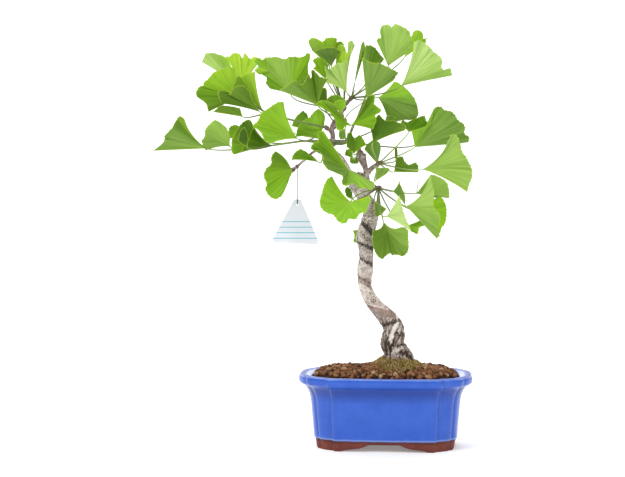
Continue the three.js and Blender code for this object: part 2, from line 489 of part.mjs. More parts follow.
function makeBlade(leaf, seed) {
  const [, baseAt, [tipDepth, tilt, bow], flanks, marginAt] = leaf;
  const base = seen(baseAt);
  const cells = marginAt.length - 1;
  const margin = marginAt.map(([across, down, fold = 0], i) => {
    const part = (2 * i) / cells - 1;
    return seen([across, down, tipDepth + tilt * part + bow * part ** 2 + fold]);
  });
  const middle = new THREE.CatmullRomCurve3(margin, false, 'centripetal').getPoint(0.5);
  const axis = middle.sub(base).normalize();

  const pointAt = (i, share) => {
    const reach = margin[i].clone().sub(base);
    const flank = THREE.MathUtils.lerp(flanks[0], flanks[1], i / cells);
    const ahead = reach.dot(axis);
    const aside = reach.clone().addScaledVector(axis, -ahead);
    const along = margin[Math.min(i + 1, cells)].clone().sub(margin[Math.max(i - 1, 0)]);
    const normal = along.cross(reach).normalize();
    const wave = BLADE.wave * reach.length() * share ** 2 * Math.sin(BLADE.ripple * i + 6 * draw(seed));
    return base.clone()
      .addScaledVector(axis, ahead * share + flank * aside.length() * share * (1 - share))
      .addScaledVector(aside, share ** (1 + BLADE.hollow * flank))
      .addScaledVector(normal, wave);
  };

  const sheet = [base.clone()];
  for (const share of BLADE.rings) {
    for (let i = 0; i <= cells; i += 1) {
      sheet.push(pointAt(i, share));
    }
  }
  const at = (ring, i) => 1 + ring * (cells + 1) + i;
  const faces = [];
  for (let i = 0; i < cells; i += 1) {
    faces.push([0, at(0, i), at(0, i + 1)]);
    for (let ring = 0; ring < BLADE.rings.length - 1; ring += 1) {
      faces.push([at(ring, i), at(ring + 1, i), at(ring + 1, i + 1)]);
      faces.push([at(ring, i), at(ring + 1, i + 1), at(ring, i + 1)]);
    }
  }
  const outer = BLADE.rings.length - 1;
  const border = [0];
  for (let ring = 0; ring <= outer; ring += 1) {
    border.push(at(ring, 0));
  }
  for (let i = 1; i <= cells; i += 1) {
    border.push(at(outer, i));
  }
  for (let ring = outer - 1; ring >= 0; ring -= 1) {
    border.push(at(ring, cells));
  }
  return { geometry: thicken(sheet, faces, border), base, axis };
}

// Gives a sheet BLADE.thick, with its two faces split alike and a wall along its border.
function thicken(sheet, faces, border) {
  const normals = sheet.map(() => new THREE.Vector3());
  for (const [a, b, c] of faces) {
    const normal = sheet[b].clone().sub(sheet[a]).cross(sheet[c].clone().sub(sheet[a]));
    for (const corner of [a, b, c]) {
      normals[corner].add(normal);
    }
  }
  const half = BLADE.thick / 2;
  const top = sheet.map((p, i) => p.clone().addScaledVector(normals[i].normalize(), half));
  const under = sheet.map((p, i) => p.clone().addScaledVector(normals[i], -half));
  const shift = sheet.length;
  const all = [...faces, ...faces.map(([a, b, c]) => [a + shift, c + shift, b + shift])];
  border.forEach((a, k) => {
    const b = border[(k + 1) % border.length];
    all.push([a, a + shift, b + shift], [a, b + shift, b]);
  });
  return meshOf([...top, ...under], all);
}

function makePetiole(from, base, axis) {
  const span = from.distanceTo(base);
  const arrive = base.clone().addScaledVector(axis, -PETIOLE.bend * span);
  const curve = new THREE.QuadraticBezierCurve3(from, arrive, base);
  const path = curve.getPoints(PETIOLE.steps);
  path.push(base.clone().addScaledVector(axis, PETIOLE.sunk));
  return tube(path, () => PETIOLE.radius, PETIOLE.sides);
}

// ---------------------------------------------------------------- spray
function makeSpray(name) {
  const { limb, shoot } = SPRAYS[name];
  const { path, radii } = smoothLimb(LIMBS[limb], 1);
  const end = path.at(-1);
  const outward = end.clone().sub(path.at(-2)).normalize();
  const bud = [0, 0.35, 0.75, 1].map((share) => end.clone().addScaledVector(outward, GAP + share * BUD.length));
  const budRadii = [radii.at(-1), BUD.radius, BUD.radius * 0.8, 0.9];
  const nodes = [bud[1], ...shoot.map(seen)];
  const pieces = [tube(bud, (k) => budRadii[k], BUD.sides)];
  if (shoot.length > 0) {
    pieces.push(tube(nodes, () => SHOOT.radius, SHOOT.sides));
  }
  LEAVES[name].forEach((leaf, i) => {
    const blade = makeBlade(leaf, name.length * 10 + i);
    pieces.push(blade.geometry, makePetiole(nodes[leaf[0]], blade.base, blade.axis));
  });
  return unionOf(pieces);
}

// ---------------------------------------------------------------- label
// A blank triangular write-on label with rounded corners, and the thread that holds it.
const tagTop = seen([...TAG.top, THREAD.depth]);

function makeTag() {
  const { width, height, apex, corner, hole, holeDown, thick, tilt } = TAG;
  const shape = new THREE.Shape();
  shape.moveTo(-apex / 2, 0);
  shape.lineTo(-width / 2 + corner / 2, -height + corner);
  shape.quadraticCurveTo(-width / 2, -height, -width / 2 + corner, -height);
  shape.lineTo(width / 2 - corner, -height);
  shape.quadraticCurveTo(width / 2, -height, width / 2 - corner / 2, -height + corner);
  shape.lineTo(apex / 2, 0);
  shape.quadraticCurveTo(0, corner / 2, -apex / 2, 0);
  shape.holes.push(new THREE.Path().absarc(0, -holeDown, hole, 0, 2 * Math.PI, true));
  const plate = new THREE.ExtrudeGeometry(shape, { depth: thick, bevelEnabled: false, curveSegments: 5 });
  plate.rotateX(Math.PI / 2).translate(0, thick / 2, holeDown).rotateY(tilt * DEG);
  return plate.translate(tagTop.x, tagTop.y, tagTop.z - holeDown);
}

function makeThread() {
  const twigUnder = seen([297.4, 166.2, -10]).z - 1.5 - 2 * GAP;
  const holeZ = tagTop.z - TAG.holeDown;
  const front = tagTop.y - TAG.thick / 2 - THREAD.radius - GAP;
  const at = (y, z) => new THREE.Vector3(tagTop.x, y, z);
  const middle = (twigUnder + holeZ) / 2;
  const path = [
    at(front, twigUnder), at(front, middle + 6), at(front, middle - 6), at(front, holeZ + 2.4),
    at(front + 0.35, holeZ + 0.7), at(tagTop.y, holeZ), at(tagTop.y + 1.4, holeZ - 0.2),
  ];
  return tube(path, () => THREAD.radius, THREAD.sides);
}

// ---------------------------------------------------------------- assembly
function piece(name, geometry, color, roughness, metalness = 0) {
  const mesh = new THREE.Mesh(geometry, new THREE.MeshStandardMaterial({ color, roughness, metalness }));
  mesh.name = name;
  return mesh;
}

const pot = piece('pot', makePot(), 0x3f63c4, 0.25);
const soil = piece('soil', makeSoil(), 0x7a4a30, 0.95);
const trunk = piece('trunk', makeTrunk(), 0xb3a596, 0.9);
const screens = [['left', -DRAIN.x], ['right', DRAIN.x]].map(([side, x]) => (
  piece(`drain_screen_${side}`, makeScreen(x), 0x222222, 0.6)
));
const sprays = Object.keys(SPRAYS).map((name) => piece(`spray_${name}`, makeSpray(name), SPRAYS[name].green, 0.6));
const label = [piece('tag', makeTag(), 0xe6eaea, 0.4), piece('tag_thread', makeThread(), 0x1c1c1c, 0.8)];

// The origin is the middle of the footprint of pot and tree together, on the surface they stand on.
const tree = new THREE.Group();
tree.add(pot, soil, ...screens, trunk, ...sprays);
const bounds = new THREE.Box3().setFromObject(tree);
const group = new THREE.Group();
group.add(tree, ...label);
group.position.set(-(bounds.min.x + bounds.max.x) / 2, -(bounds.min.y + bounds.max.y) / 2, -bounds.min.z);
group.updateMatrixWorld(true);

export default group;
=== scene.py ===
import math

import bmesh
import bpy
import numpy as np
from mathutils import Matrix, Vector, noise


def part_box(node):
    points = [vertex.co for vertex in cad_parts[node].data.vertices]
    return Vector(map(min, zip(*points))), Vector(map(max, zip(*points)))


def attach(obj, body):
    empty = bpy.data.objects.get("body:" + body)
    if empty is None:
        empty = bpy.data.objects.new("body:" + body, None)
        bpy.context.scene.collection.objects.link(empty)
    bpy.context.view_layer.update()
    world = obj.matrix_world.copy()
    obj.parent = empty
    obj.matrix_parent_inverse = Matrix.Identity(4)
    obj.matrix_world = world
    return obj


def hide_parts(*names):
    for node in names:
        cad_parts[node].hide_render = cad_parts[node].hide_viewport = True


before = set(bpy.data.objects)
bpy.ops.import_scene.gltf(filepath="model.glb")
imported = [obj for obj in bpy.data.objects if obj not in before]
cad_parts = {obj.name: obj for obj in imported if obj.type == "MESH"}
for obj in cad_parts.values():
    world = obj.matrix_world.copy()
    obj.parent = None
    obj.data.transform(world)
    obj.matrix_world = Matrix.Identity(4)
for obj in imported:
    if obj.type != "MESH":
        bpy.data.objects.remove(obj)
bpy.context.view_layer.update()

MM = 0.001
TURN = 2 * math.pi
pot_low, pot_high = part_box("pot")
SHIFT = np.array([(pot_low.x + pot_high.x) / 2, (pot_low.y + pot_high.y) / 2, pot_low.z]) / MM

# ---------------------------------------------------------------- layout sheet
SHEET = (625, 477)
EYE = np.array([34.0, -1200.0, 205.0])
MIDDLE = np.array([-73.0, 0.0, 205.0])
SIGHT = MIDDLE - EYE


def unit(v):
    return v / np.linalg.norm(v)


ACROSS = unit(np.cross(SIGHT, [0.0, 0.0, 1.0]))


def seen(point):
    """The point at real y = depth on the line of sight through (across, down) on the sheet."""
    across, down, depth = point[:3]
    ray = SIGHT + ACROSS * (across - SHEET[0] / 2) + np.array([0.0, 0.0, SHEET[1] / 2 - down])
    return EYE + ray * ((depth - EYE[1]) / ray[1])


def sheet_of(points):
    """Across and down on the sheet of points in the layout's space."""
    away = points - EYE
    reach = away @ unit(SIGHT) / np.linalg.norm(SIGHT)
    return SHEET[0] / 2 + (away @ ACROSS) / reach, SHEET[1] / 2 - away[:, 2] / reach


def draw(seed):
    """A fixed number from 0 to 1 for each seed."""
    value = math.sin(seed * 127.1 + 311.7) * 43758.5453
    return value - math.floor(value)


# ---------------------------------------------------------------- camera, light and floor
SENSOR = 36.0
CLIP = (0.05, 20)
SKY = 0.6
# Soft round lamps in metres: name, place, diameter and power. All are aimed at LAMP_TARGET.
LAMPS = [
    ["key", (-0.9, -1.3, 1.8), 0.7, 25],
    ["fill", (1.3, -1.2, 0.7), 1.1, 7],
    ["back", (-0.2, 1.3, 1.5), 1.0, 12],
]
LAMP_TARGET = (0.05, 0, 0.2)
# The paper sweep in metres: its front edge, its wall's place and height, its bend's radius, half its width.
SWEEP = {"front": -3.0, "wall": 1.6, "high": 2.6, "bend": 0.6, "half": 4.0, "steps": 16}
PAPER = {"shade": 0.93, "roughness": 0.9, "glow": 0.22}


def link(data, name):
    thing = bpy.data.objects.new(name, data)
    bpy.context.scene.collection.objects.link(thing)
    return thing


def aim(thing, place, target):
    thing.location = place
    thing.rotation_euler = (Vector(target) - Vector(place)).to_track_quat("-Z", "Y").to_euler()


def make_camera():
    scene = bpy.context.scene
    scene.view_settings.view_transform = "Standard"
    camera = link(bpy.data.cameras.new("camera"), "camera")
    camera.data.sensor_width = SENSOR
    camera.data.lens = SENSOR * float(np.linalg.norm(SIGHT)) / SHEET[0]
    camera.data.clip_start, camera.data.clip_end = CLIP
    aim(camera, (EYE + SHIFT) * MM, (MIDDLE + SHIFT) * MM)
    scene.camera = camera


def make_lights():
    world = bpy.data.worlds.new("studio")
    world.use_nodes = True
    sky = world.node_tree.nodes["Background"]
    sky.inputs["Color"].default_value = (1, 1, 1, 1)
    sky.inputs["Strength"].default_value = SKY
    bpy.context.scene.world = world
    for name, place, size, power in LAMPS:
        lamp = bpy.data.lights.new(name, "AREA")
        lamp.shape, lamp.size, lamp.energy = "DISK", size, power
        aim(link(lamp, name), place, LAMP_TARGET)


def make_sweep():
    bend = SWEEP["bend"]
    profile = [(SWEEP["front"], 0.0)]
    for angle in np.linspace(0, math.pi / 2, SWEEP["steps"]):
        profile.append((SWEEP["wall"] - bend + bend * math.sin(angle), bend - bend * math.cos(angle)))
    profile.append((SWEEP["wall"], SWEEP["high"]))
    points = [(x, y, z) for y, z in profile for x in (-SWEEP["half"], SWEEP["half"])]
    faces = [(2 * i, 2 * i + 1, 2 * i + 3, 2 * i + 2) for i in range(len(profile) - 1)]
    mesh = bpy.data.meshes.new("sweep")
    mesh.from_pydata(points, [], faces)
    mesh.polygons.foreach_set("use_smooth", [True] * len(faces))
    net = Net("paper")
    net.set(Base_Color=(*[PAPER["shade"]] * 3, 1), Roughness=PAPER["roughness"])
    net.set(Emission_Color=(1, 1, 1, 1), Emission_Strength=PAPER["glow"])
    mesh.materials.append(net.material)
    link(mesh, "sweep")


# ---------------------------------------------------------------- shader nets
def rgb(red, green, blue):
    """A colour given as 0 to 255 on screen, as the shader's linear values."""
    shares = (red / 255, green / 255, blue / 255)
    return tuple(c / 12.92 if c <= 0.04045 else ((c + 0.055) / 1.055) ** 2.4 for c in shares) + (1.0,)


class Net:
    """A material under construction."""

    def __init__(self, name):
        self.material = bpy.data.materials.new(name)
        self.material.use_nodes = True
        self.nodes = self.material.node_tree.nodes
        self.links = self.material.node_tree.links
        self.shader = self.nodes["Principled BSDF"]
        self.place = self.nodes.new("ShaderNodeTexCoord").outputs["Object"]

    def feed(self, socket, value):
        if isinstance(value, bpy.types.NodeSocket):
            self.links.new(value, socket)
        else:
            socket.default_value = value

    def set(self, **values):
        for name, value in values.items():
            self.feed(self.shader.inputs[name.replace("_", " ")], value)

    def value(self, name, output="Fac"):
        node = self.nodes.new("ShaderNodeAttribute")
        node.attribute_name = name
        return node.outputs[output]

    def height(self):
        """Millimetres above the table."""
        node = self.nodes.new("ShaderNodeSeparateXYZ")
        self.links.new(self.place, node.inputs[0])
        return self.math("DIVIDE", node.outputs["Z"], MM)

    def math(self, operation, a, b=0.0, clamp=False):
        node = self.nodes.new("ShaderNodeMath")
        node.operation, node.use_clamp = operation, clamp
        self.feed(node.inputs[0], a)
        self.feed(node.inputs[1], b)
        return node.outputs[0]

    def times(self, a, b):
        return self.math("MULTIPLY", a, b)

    def plus(self, a, b):
        return self.math("ADD", a, b)

    def swing(self, value, size):
        """A value round 0.5 as one round 0, and `size` times as large."""
        return self.times(self.math("SUBTRACT", value, 0.5), size)

    def noise(self, scale, detail=3.0, rough=0.5, place=None):
        node = self.nodes.new("ShaderNodeTexNoise")
        self.feed(node.inputs["Vector"], place or self.place)
        for name, value in (("Scale", scale), ("Detail", detail), ("Roughness", rough)):
            node.inputs[name].default_value = value
        return node.outputs["Fac"]

    def combine(self, x, y, z=0.0):
        node = self.nodes.new("ShaderNodeCombineXYZ")
        for socket, value in zip(node.inputs, (x, y, z)):
            self.feed(socket, value)
        return node.outputs[0]

    def stretch(self, size):
        node = self.nodes.new("ShaderNodeMapping")
        self.feed(node.inputs["Vector"], self.place)
        node.inputs["Scale"].default_value = size
        return node.outputs[0]

    def range(self, value, low, high, to_low=0.0, to_high=1.0):
        node = self.nodes.new("ShaderNodeMapRange")
        self.feed(node.inputs["Value"], value)
        for name, given in (("From Min", low), ("From Max", high), ("To Min", to_low), ("To Max", to_high)):
            node.inputs[name].default_value = given
        return node.outputs[0]

    def band(self, value, low, high, fade_in, fade_out):
        """1 from low to high, with a fade before and after."""
        return self.times(self.range(value, low - fade_in, low), self.range(value, high + fade_out, high))

    def ramp(self, value, stops):
        node = self.nodes.new("ShaderNodeValToRGB")
        self.feed(node.inputs["Fac"], value)
        colours = node.color_ramp.elements
        while len(colours) < len(stops):
            colours.new(0.5)
        for element, (at, colour) in zip(colours, stops):
            element.position, element.color = at, rgb(*colour)
        return node.outputs["Color"]

    def mix(self, share, a, b, blend="MIX"):
        node = self.nodes.new("ShaderNodeMix")
        node.data_type, node.blend_type = "RGBA", blend
        self.feed(node.inputs["Factor"], share)
        self.feed(node.inputs[6], a)
        self.feed(node.inputs[7], b)
        return node.outputs[2]

    def coats(self, base, rows):
        """The base colour under rows of [share, (red, green, blue)], the last one on top."""
        for share, colour in rows:
            base = self.mix(share, base, rgb(*colour))
        return base

    def bump(self, height, strength, distance):
        node = self.nodes.new("ShaderNodeBump")
        node.inputs["Strength"].default_value = strength
        node.inputs["Distance"].default_value = distance * MM
        self.feed(node.inputs["Height"], height)
        self.feed(self.shader.inputs["Normal"], node.outputs["Normal"])
        return node.outputs["Normal"]


# ---------------------------------------------------------------- mesh pieces
class Piece:
    """Points, faces and per-point values of one piece, in the layout's millimetres."""

    def __init__(self):
        self.points, self.faces, self.slots, self.values, self.count = [], [], [], {}, 0

    def add(self, points, faces, slot=0, **values):
        """Adds points, faces in one material slot, and named values: one for all points or one for each."""
        points = np.asarray(points, float)
        self.points.append(points)
        self.faces.extend([tuple(int(i) + self.count for i in face) for face in faces])
        self.slots.extend([slot] * len(faces))
        for name, value in values.items():
            value = np.asarray(value, float)
            if value.ndim == 0 or value.shape == (4,):
                value = np.broadcast_to(value, (len(points),) + value.shape)
            self.values.setdefault(name, []).append((self.count, value))
        self.count += len(points)
        return self

    def mesh(self, name, materials=()):
        mesh = bpy.data.meshes.new(name)
        mesh.from_pydata(((np.concatenate(self.points) + SHIFT) * MM).tolist(), [], self.faces)
        mesh.polygons.foreach_set("use_smooth", [True] * len(self.faces))
        mesh.polygons.foreach_set("material_index", self.slots)
        for key, parts in self.values.items():
            store = np.zeros((self.count,) + parts[0][1].shape[1:], np.float32)
            for start, value in parts:
                store[start:start + len(value)] = value
            paint(mesh, key, store)
        for material in materials:
            mesh.materials.append(material)
        mesh.update()
        return mesh

    def make(self, name, materials, slot, replaced=()):
        return show(self.mesh(name, materials), name, replaced)


def paint(mesh, name, value):
    """Stores a number or a colour for each of the mesh's points."""
    wide = value.ndim == 2
    layer = mesh.attributes.new(name, "FLOAT_COLOR" if wide else "FLOAT", "POINT")
    layer.data.foreach_set("color" if wide else "value", value.astype(np.float32).ravel())


def read(mesh, what):
    """The mesh's points ("co") or their normals ("normal"), a row each."""
    flat = np.zeros(len(mesh.vertices) * 3, np.float32)
    mesh.vertices.foreach_get(what, flat)
    return flat.reshape(-1, 3)


def move(mesh, points):
    mesh.vertices.foreach_set("co", points.astype(np.float32).ravel())


def applied(thing):
    """The object's mesh with its modifiers applied."""
    graph = bpy.context.evaluated_depsgraph_get()
    return bpy.data.meshes.new_from_object(thing.evaluated_get(graph))


def show(mesh, name, replaced=()):
    """Links the mesh as a piece that rides on the root body, in the place of the replaced CAD nodes."""
    mesh.name = name
    thing = link(mesh, name)
    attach(thing, "root")
    if replaced:
        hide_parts(*replaced)
    return thing


def loft(rings):
    """Points and faces of a closed form through rings of equal length."""
    count = len(rings[0])
    points = np.concatenate([[np.mean(rings[0], 0)], *rings, [np.mean(rings[-1], 0)]])
    faces = []
    for i in range(count):
        j = (i + 1) % count
        faces.append((0, 1 + j, 1 + i))
        for k in range(len(rings) - 1):
            here, after = 1 + k * count, 1 + (k + 1) * count
            faces.append((here + i, here + j, after + j, after + i))
        end = 1 + (len(rings) - 1) * count
        faces.append((len(points) - 1, end + i, end + j))
    return points, faces


def circle(count):
    return np.arange(count) / count * TURN


def tube(path, radius, sides):
    """Points, faces and ring numbers of a tube; radius(ring, angles) gives its reach."""
    path = np.asarray(path, float)
    side = np.array([1.0, 0.0, 0.0])
    angles = circle(sides)
    rings = []
    for k, point in enumerate(path):
        tangent = unit(path[min(k + 1, len(path) - 1)] - path[max(k - 1, 0)])
        if abs(side @ tangent) > 0.95:
            side = np.array([0.0, 1.0, 0.0])
        side = unit(side - tangent * (side @ tangent))
        other = np.cross(tangent, side)
        reach = np.broadcast_to(radius(k, angles), (sides,))[:, None]
        rings.append(point + (side * np.cos(angles)[:, None] + other * np.sin(angles)[:, None]) * reach)
    points, faces = loft(rings)
    ring = np.concatenate([[0], np.repeat(np.arange(len(path)), sides), [len(path) - 1]])
    return points, faces, ring


def smooth(points, steps):
    """A centripetal curve through points, with `steps` parts between two of them."""
    p = np.asarray(points, float)
    p = np.concatenate([[2 * p[0] - p[1]], p, [2 * p[-1] - p[-2]]])
    out = []
    for i in range(1, len(p) - 2):
        a, b, c, d = p[i - 1:i + 3]
        ab, bc, cd = (max(np.linalg.norm(v), 1e-4) ** 0.5 for v in (b - a, c - b, d - c))
        start = ((b - a) / ab - (c - a) / (ab + bc) + (c - b) / bc) * bc
        end = ((c - b) / bc - (d - b) / (bc + cd) + (d - c) / cd) * bc
        for t in np.arange(steps) / steps:
            out.append(
                (2 * t**3 - 3 * t**2 + 1) * b + (t**3 - 2 * t**2 + t) * start
                + (3 * t**2 - 2 * t**3) * c + (t**3 - t**2) * end
            )
    return np.array(out + [p[-2]])


def rough(points, scale, seed=0.0):
    """Smooth noise from -1 to 1 at each point."""
    return np.array([noise.noise((p[0] * scale + seed, p[1] * scale, p[2] * scale)) for p in points])


# ---------------------------------------------------------------- pot
POT = {"length": 171.4, "depth": 126}
QUARTER_STEPS = 60
CURVE_STEPS = 12
# One quarter of the outline, from the side's middle to the front's: [x, y] at the rim, then at MOKKO_INSET.
MOKKO = [
    [85.7, 0, 69.8, 0], [85.4, 11, 69.7, 8.5], [84.7, 21, 69.3, 17], [81.8, 30, 67.6, 24], [78, 37, 65.4, 28],
    [75.9, 39.4, 63.6, 29.4], [75.2, 42.8, 62.8, 31.6], [72.2, 46.8, 60.4, 34.4], [67.5, 50.1, 57.4, 36.7],
    [62.4, 53, 54.2, 38.6], [57.6, 55.2, 51.2, 40.2], [55.6, 56.8, 49.9, 41.2], [54.6, 59.2, 49.2, 43.6],
    [52.3, 60.7, 47.3, 45], [47, 61.4, 42.5, 45.7], [38, 62, 34, 46.2], [20, 62.8, 18, 46.85], [0, 63, 0, 47],
]
MOKKO_INSET = 16
# The outer and inner wall over the foot: [height, inset from the rim's outline].
POT_WALL = [
    [9, 16.6], [9.9, 16.3], [10.3, 15.7], [10.9, 15.4], [12.5, 15.2], [22, 14.3], [32, 13.4], [42, 12.5],
    [48, 11.8], [52, 10.9], [54.8, 9.9], [57, 8.8], [59.2, 7.3], [61, 5.7], [62.3, 3.9], [63.1, 2.4],
    [64, 1.2], [65.4, 0.4], [67.4, 0.05], [69.4, 0.05], [70.7, 0.5], [71.5, 1.3], [71.9, 2.3], [72, 3.4],
    [71.8, 6.2], [71.2, 9.8], [70.7, 11.9], [69.9, 13.1], [68.6, 13.7], [66, 14.3], [58, 16.2], [50.2, 18],
    [30, 20.9], [17.5, 23], [15, 26],
]
WALL_STEPS = 3
# The foot band's rows from its lower edge to its top, its inset there and at the top, and the edge's bevel.
FOOT_ROWS = [0, 0.06, 0.3, 0.65, 1]
FOOT_INSET = (18, 16.9)
FOOT_TOP = 10
FOOT_BEVEL = 0.35
# The cloud-shaped openings: [share of ARCH_HALF away from the side's middle, height]. They cut only what lies
# within ARCH_BAND of the pot's side.
FOOT_ARCH = [[0.34, 6.9], [0.4, 6.4], [0.47, 4.8], [0.6, 3.1], [0.88, 1.8], [0.98, 1], [1.03, 0]]
ARCH_HALF = (41, 21)
ARCH_BAND = 25
# The recess under the pot: half its size each way, and the rows of its ceiling.
FOOT_RECESS = (50, 27)
RECESS_ROWS = (0.2, 0.6, 1)
UNDERSIDE = 7.4
# The upright grooves between the lobes, darkened with painted shade in the glaze.
GROOVES = [MOKKO[5], MOKKO[11]]
GROOVE_WIDTH = 1.6
DRAIN = {"places": (-30, 30), "radius": 6, "sides": 32, "heights": (3, 20)}


def quarter_outline(inset):
    columns = smooth(MOKKO, CURVE_STEPS)
    travel = np.concatenate([[0], np.cumsum(np.linalg.norm(np.diff(columns[:, :2], axis=0), axis=1))])
    even = np.linspace(0, travel[-1], QUARTER_STEPS + 1)
    columns = np.column_stack([np.interp(even, travel, column) for column in columns.T])
    return columns[:, :2] + (columns[:, 2:] - columns[:, :2]) * inset / MOKKO_INSET


def pot_outline(inset):
    quarter = quarter_outline(inset)
    half = np.concatenate([quarter, quarter[-2:0:-1] * (-1, 1)])
    return np.concatenate([half, -half])


def groove_share(inset):
    """1 along the upright grooves between the pot's lobes, and 0 away from them."""
    outline = abs(pot_outline(inset))
    share = np.zeros(len(outline))
    for groove in GROOVES:
        rim, foot = np.array(groove[:2]), np.array(groove[2:])
        away = np.linalg.norm(outline - rim - (foot - rim) * inset / MOKKO_INSET, axis=1)
        share = np.maximum(share, np.exp(-((away / GROOVE_WIDTH) ** 2)))
    return share


def ring_at(inset, z):
    outline = pot_outline(inset)
    return np.column_stack([outline, np.broadcast_to(z, len(outline))])


def arch_height(outline):
    """Height of the foot's lower edge, zero where a foot stands."""
    shares, heights = np.array(FOOT_ARCH).T
    low = np.zeros(len(outline))
    for axis, half in enumerate(ARCH_HALF):
        reach = abs(outline[:, axis]) / half
        facing = abs(outline[:, 1 - axis]) > (POT["depth"], POT["length"])[axis] / 2 - ARCH_BAND
        low = np.where(facing, np.maximum(low, np.interp(reach, shares, heights)), low)
    return low


def make_pot():
    base = pot_outline(FOOT_INSET[0])
    low = arch_height(base)
    inner = np.column_stack([np.clip(base[:, i], -FOOT_RECESS[i], FOOT_RECESS[i]) for i in (0, 1)])
    rings = [np.column_stack([inner * share, np.full(len(base), UNDERSIDE)]) for share in RECESS_ROWS]
    rings += [np.column_stack([inner, low]), np.column_stack([inner * 0.1 + base * 0.9, low])]
    for share in FOOT_ROWS:
        inset = FOOT_INSET[0] + (FOOT_INSET[1] - FOOT_INSET[0]) * share + (FOOT_BEVEL if share == 0 else 0)
        rings.append(ring_at(inset, low + (FOOT_TOP - low) * share))
    profile = smooth(POT_WALL, WALL_STEPS)
    grooves = [np.zeros(len(rings) * len(base))] + [groove_share(inset) for _, inset in profile]
    rings += [ring_at(inset, z) for z, inset in profile]
    piece = Piece().add(*loft(rings), groove=np.concatenate([[0], *grooves, [0]]))
    drill_drains(piece.make("glazed_pot", [ceramic()], "glazed_ceramic", ["pot"]))


def drill_drains(pot):
    around = circle(DRAIN["sides"])
    for x in DRAIN["places"]:
        hole = DRAIN["radius"] * np.column_stack([np.cos(around), np.sin(around), 0 * around]) + [x, 0, 0]
        cutter = Piece().add(*loft([hole + [0, 0, z] for z in DRAIN["heights"]]))
        drill = link(cutter.mesh("drill"), "drill")
        cut = pot.modifiers.new("drain", "BOOLEAN")
        cut.operation, cut.solver, cut.object = "DIFFERENCE", "EXACT", drill
        drilled = applied(pot)
        pot.modifiers.clear()
        pot.data = drilled
        bpy.data.objects.remove(drill)


def ceramic():
    """Blue glaze above a bare red clay foot. Pale bands over the rim's lip and the glaze's lower roll are
    partly the glaze breaking pale and partly painted highlight; painted shade darkens the cove under the rim,
    the ledge and the grooves, and a painted shadow lies under the glaze's edge. Heights are in millimetres.
    """
    net = Net("blue_glaze")
    height = net.height()
    level = net.plus(height, net.swing(net.noise(90, 3), 1.2))
    pool = net.noise(60, 4, 0.6)
    blue = net.mix(net.range(pool, 0.35, 0.7), rgb(36, 82, 182), rgb(45, 92, 193))
    # Painted shade: the cove under the rim is darkened toward deep navy.
    cove_shade = net.band(height, 58, 60, 11, 4.5)
    # The rim's lip is painted pale: partly the glaze breaking thin over it, partly a painted highlight.
    edge = net.band(height, 70.9, 71.3, 0.7, 0.5)
    # Painted shade: the up-facing ledge is darkened against the light that falls on it from above; the same
    # mask also roughens it.
    ledge = net.range(height, 71.4, 71.8)
    # Painted shade: the upright grooves between the lobes are darkened; the same mask also roughens them.
    groove = net.value("groove")
    blue = net.coats(blue, [
        (net.range(net.noise(900, 2), 0.56, 0.75, 0, 0.2), (84, 124, 214)),
        (net.times(cove_shade, 0.75), (20, 52, 134)),
        (net.times(edge, net.range(pool, 0.3, 0.7, 0.3, 0.7)), (150, 168, 218)),
        (net.times(ledge, 0.55), (24, 54, 136)),
        (net.times(groove, 0.28), (20, 56, 150)),
        # The glaze's lower roll is painted pale: partly the glaze breaking thin, partly a painted highlight.
        (net.range(level, 12.6, 11.2, 0, 0.55), (140, 160, 206)),
    ])
    grit = net.noise(700, 4, 0.7)
    patches = net.noise(60, 5, 0.65)
    clay = net.ramp(patches, [(0.3, (84, 34, 26)), (0.55, (108, 48, 37)), (0.8, (130, 68, 54))])
    clay = net.mix(net.range(grit, 0.5, 0.8, 0, 0.3), clay, rgb(146, 92, 74))
    glazed = net.range(level, 9.7, 10.1)
    # Painted shadow: a dark line on the clay just under the glaze's overhanging edge.
    glaze_edge_shadow = net.band(level, 9.8, 10.2, 0.5, 0.5)
    skin = net.mix(net.times(glaze_edge_shadow, 0.75), net.mix(glazed, clay, blue), rgb(40, 30, 44))
    worn = net.math("MAXIMUM", net.times(ledge, 0.3), net.times(groove, 0.6))
    net.set(Base_Color=skin, Roughness=net.plus(net.range(glazed, 0, 1, 0.75, 0.13), worn))
    net.set(Coat_Weight=0.05, Coat_Roughness=0.1, Specular_IOR_Level=0.35)
    grain = net.times(grit, net.range(glazed, 0, 1, 0.5, 0.03))
    net.bump(net.plus(net.times(net.noise(140, 2), 0.6), grain), 0.25, 0.8)
    return net.material


# ---------------------------------------------------------------- trunk
# The trunk and its limbs from the foot up: [across, down, depth, radius].
TRUNK = [
    [396.5, 363, 0, 14], [396.5, 356, 0, 13.8], [395.4, 350.5, 0, 12.2], [392, 341.5, 0.5, 11],
    [394.3, 329, 1, 10], [387.6, 318, 2, 9.1], [375.4, 306.2, 3, 7.1], [367.2, 293, 4, 6.4],
    [364.8, 282, 4, 6.6], [365.4, 270, 3, 7.9], [366.4, 260, 1, 6.9], [365.8, 247, -1, 7.5],
    [364, 236, -2, 7.8], [367.8, 225, -2, 8], [370.4, 217, -2, 7.9], [371, 208.5, -1, 6], [368, 201.5, 0, 6],
    [361.5, 194, 1, 6.1], [353.5, 185, 3, 5.5], [347.8, 173.5, 5, 4.7], [341.2, 160.5, 6, 4.1],
    [329.8, 147, 6, 3.2], [332.8, 138, 5, 2.4], [332, 126, 4, 2.1], [338, 116.5, 4, 2], [346.5, 101, 4, 1.7],
]
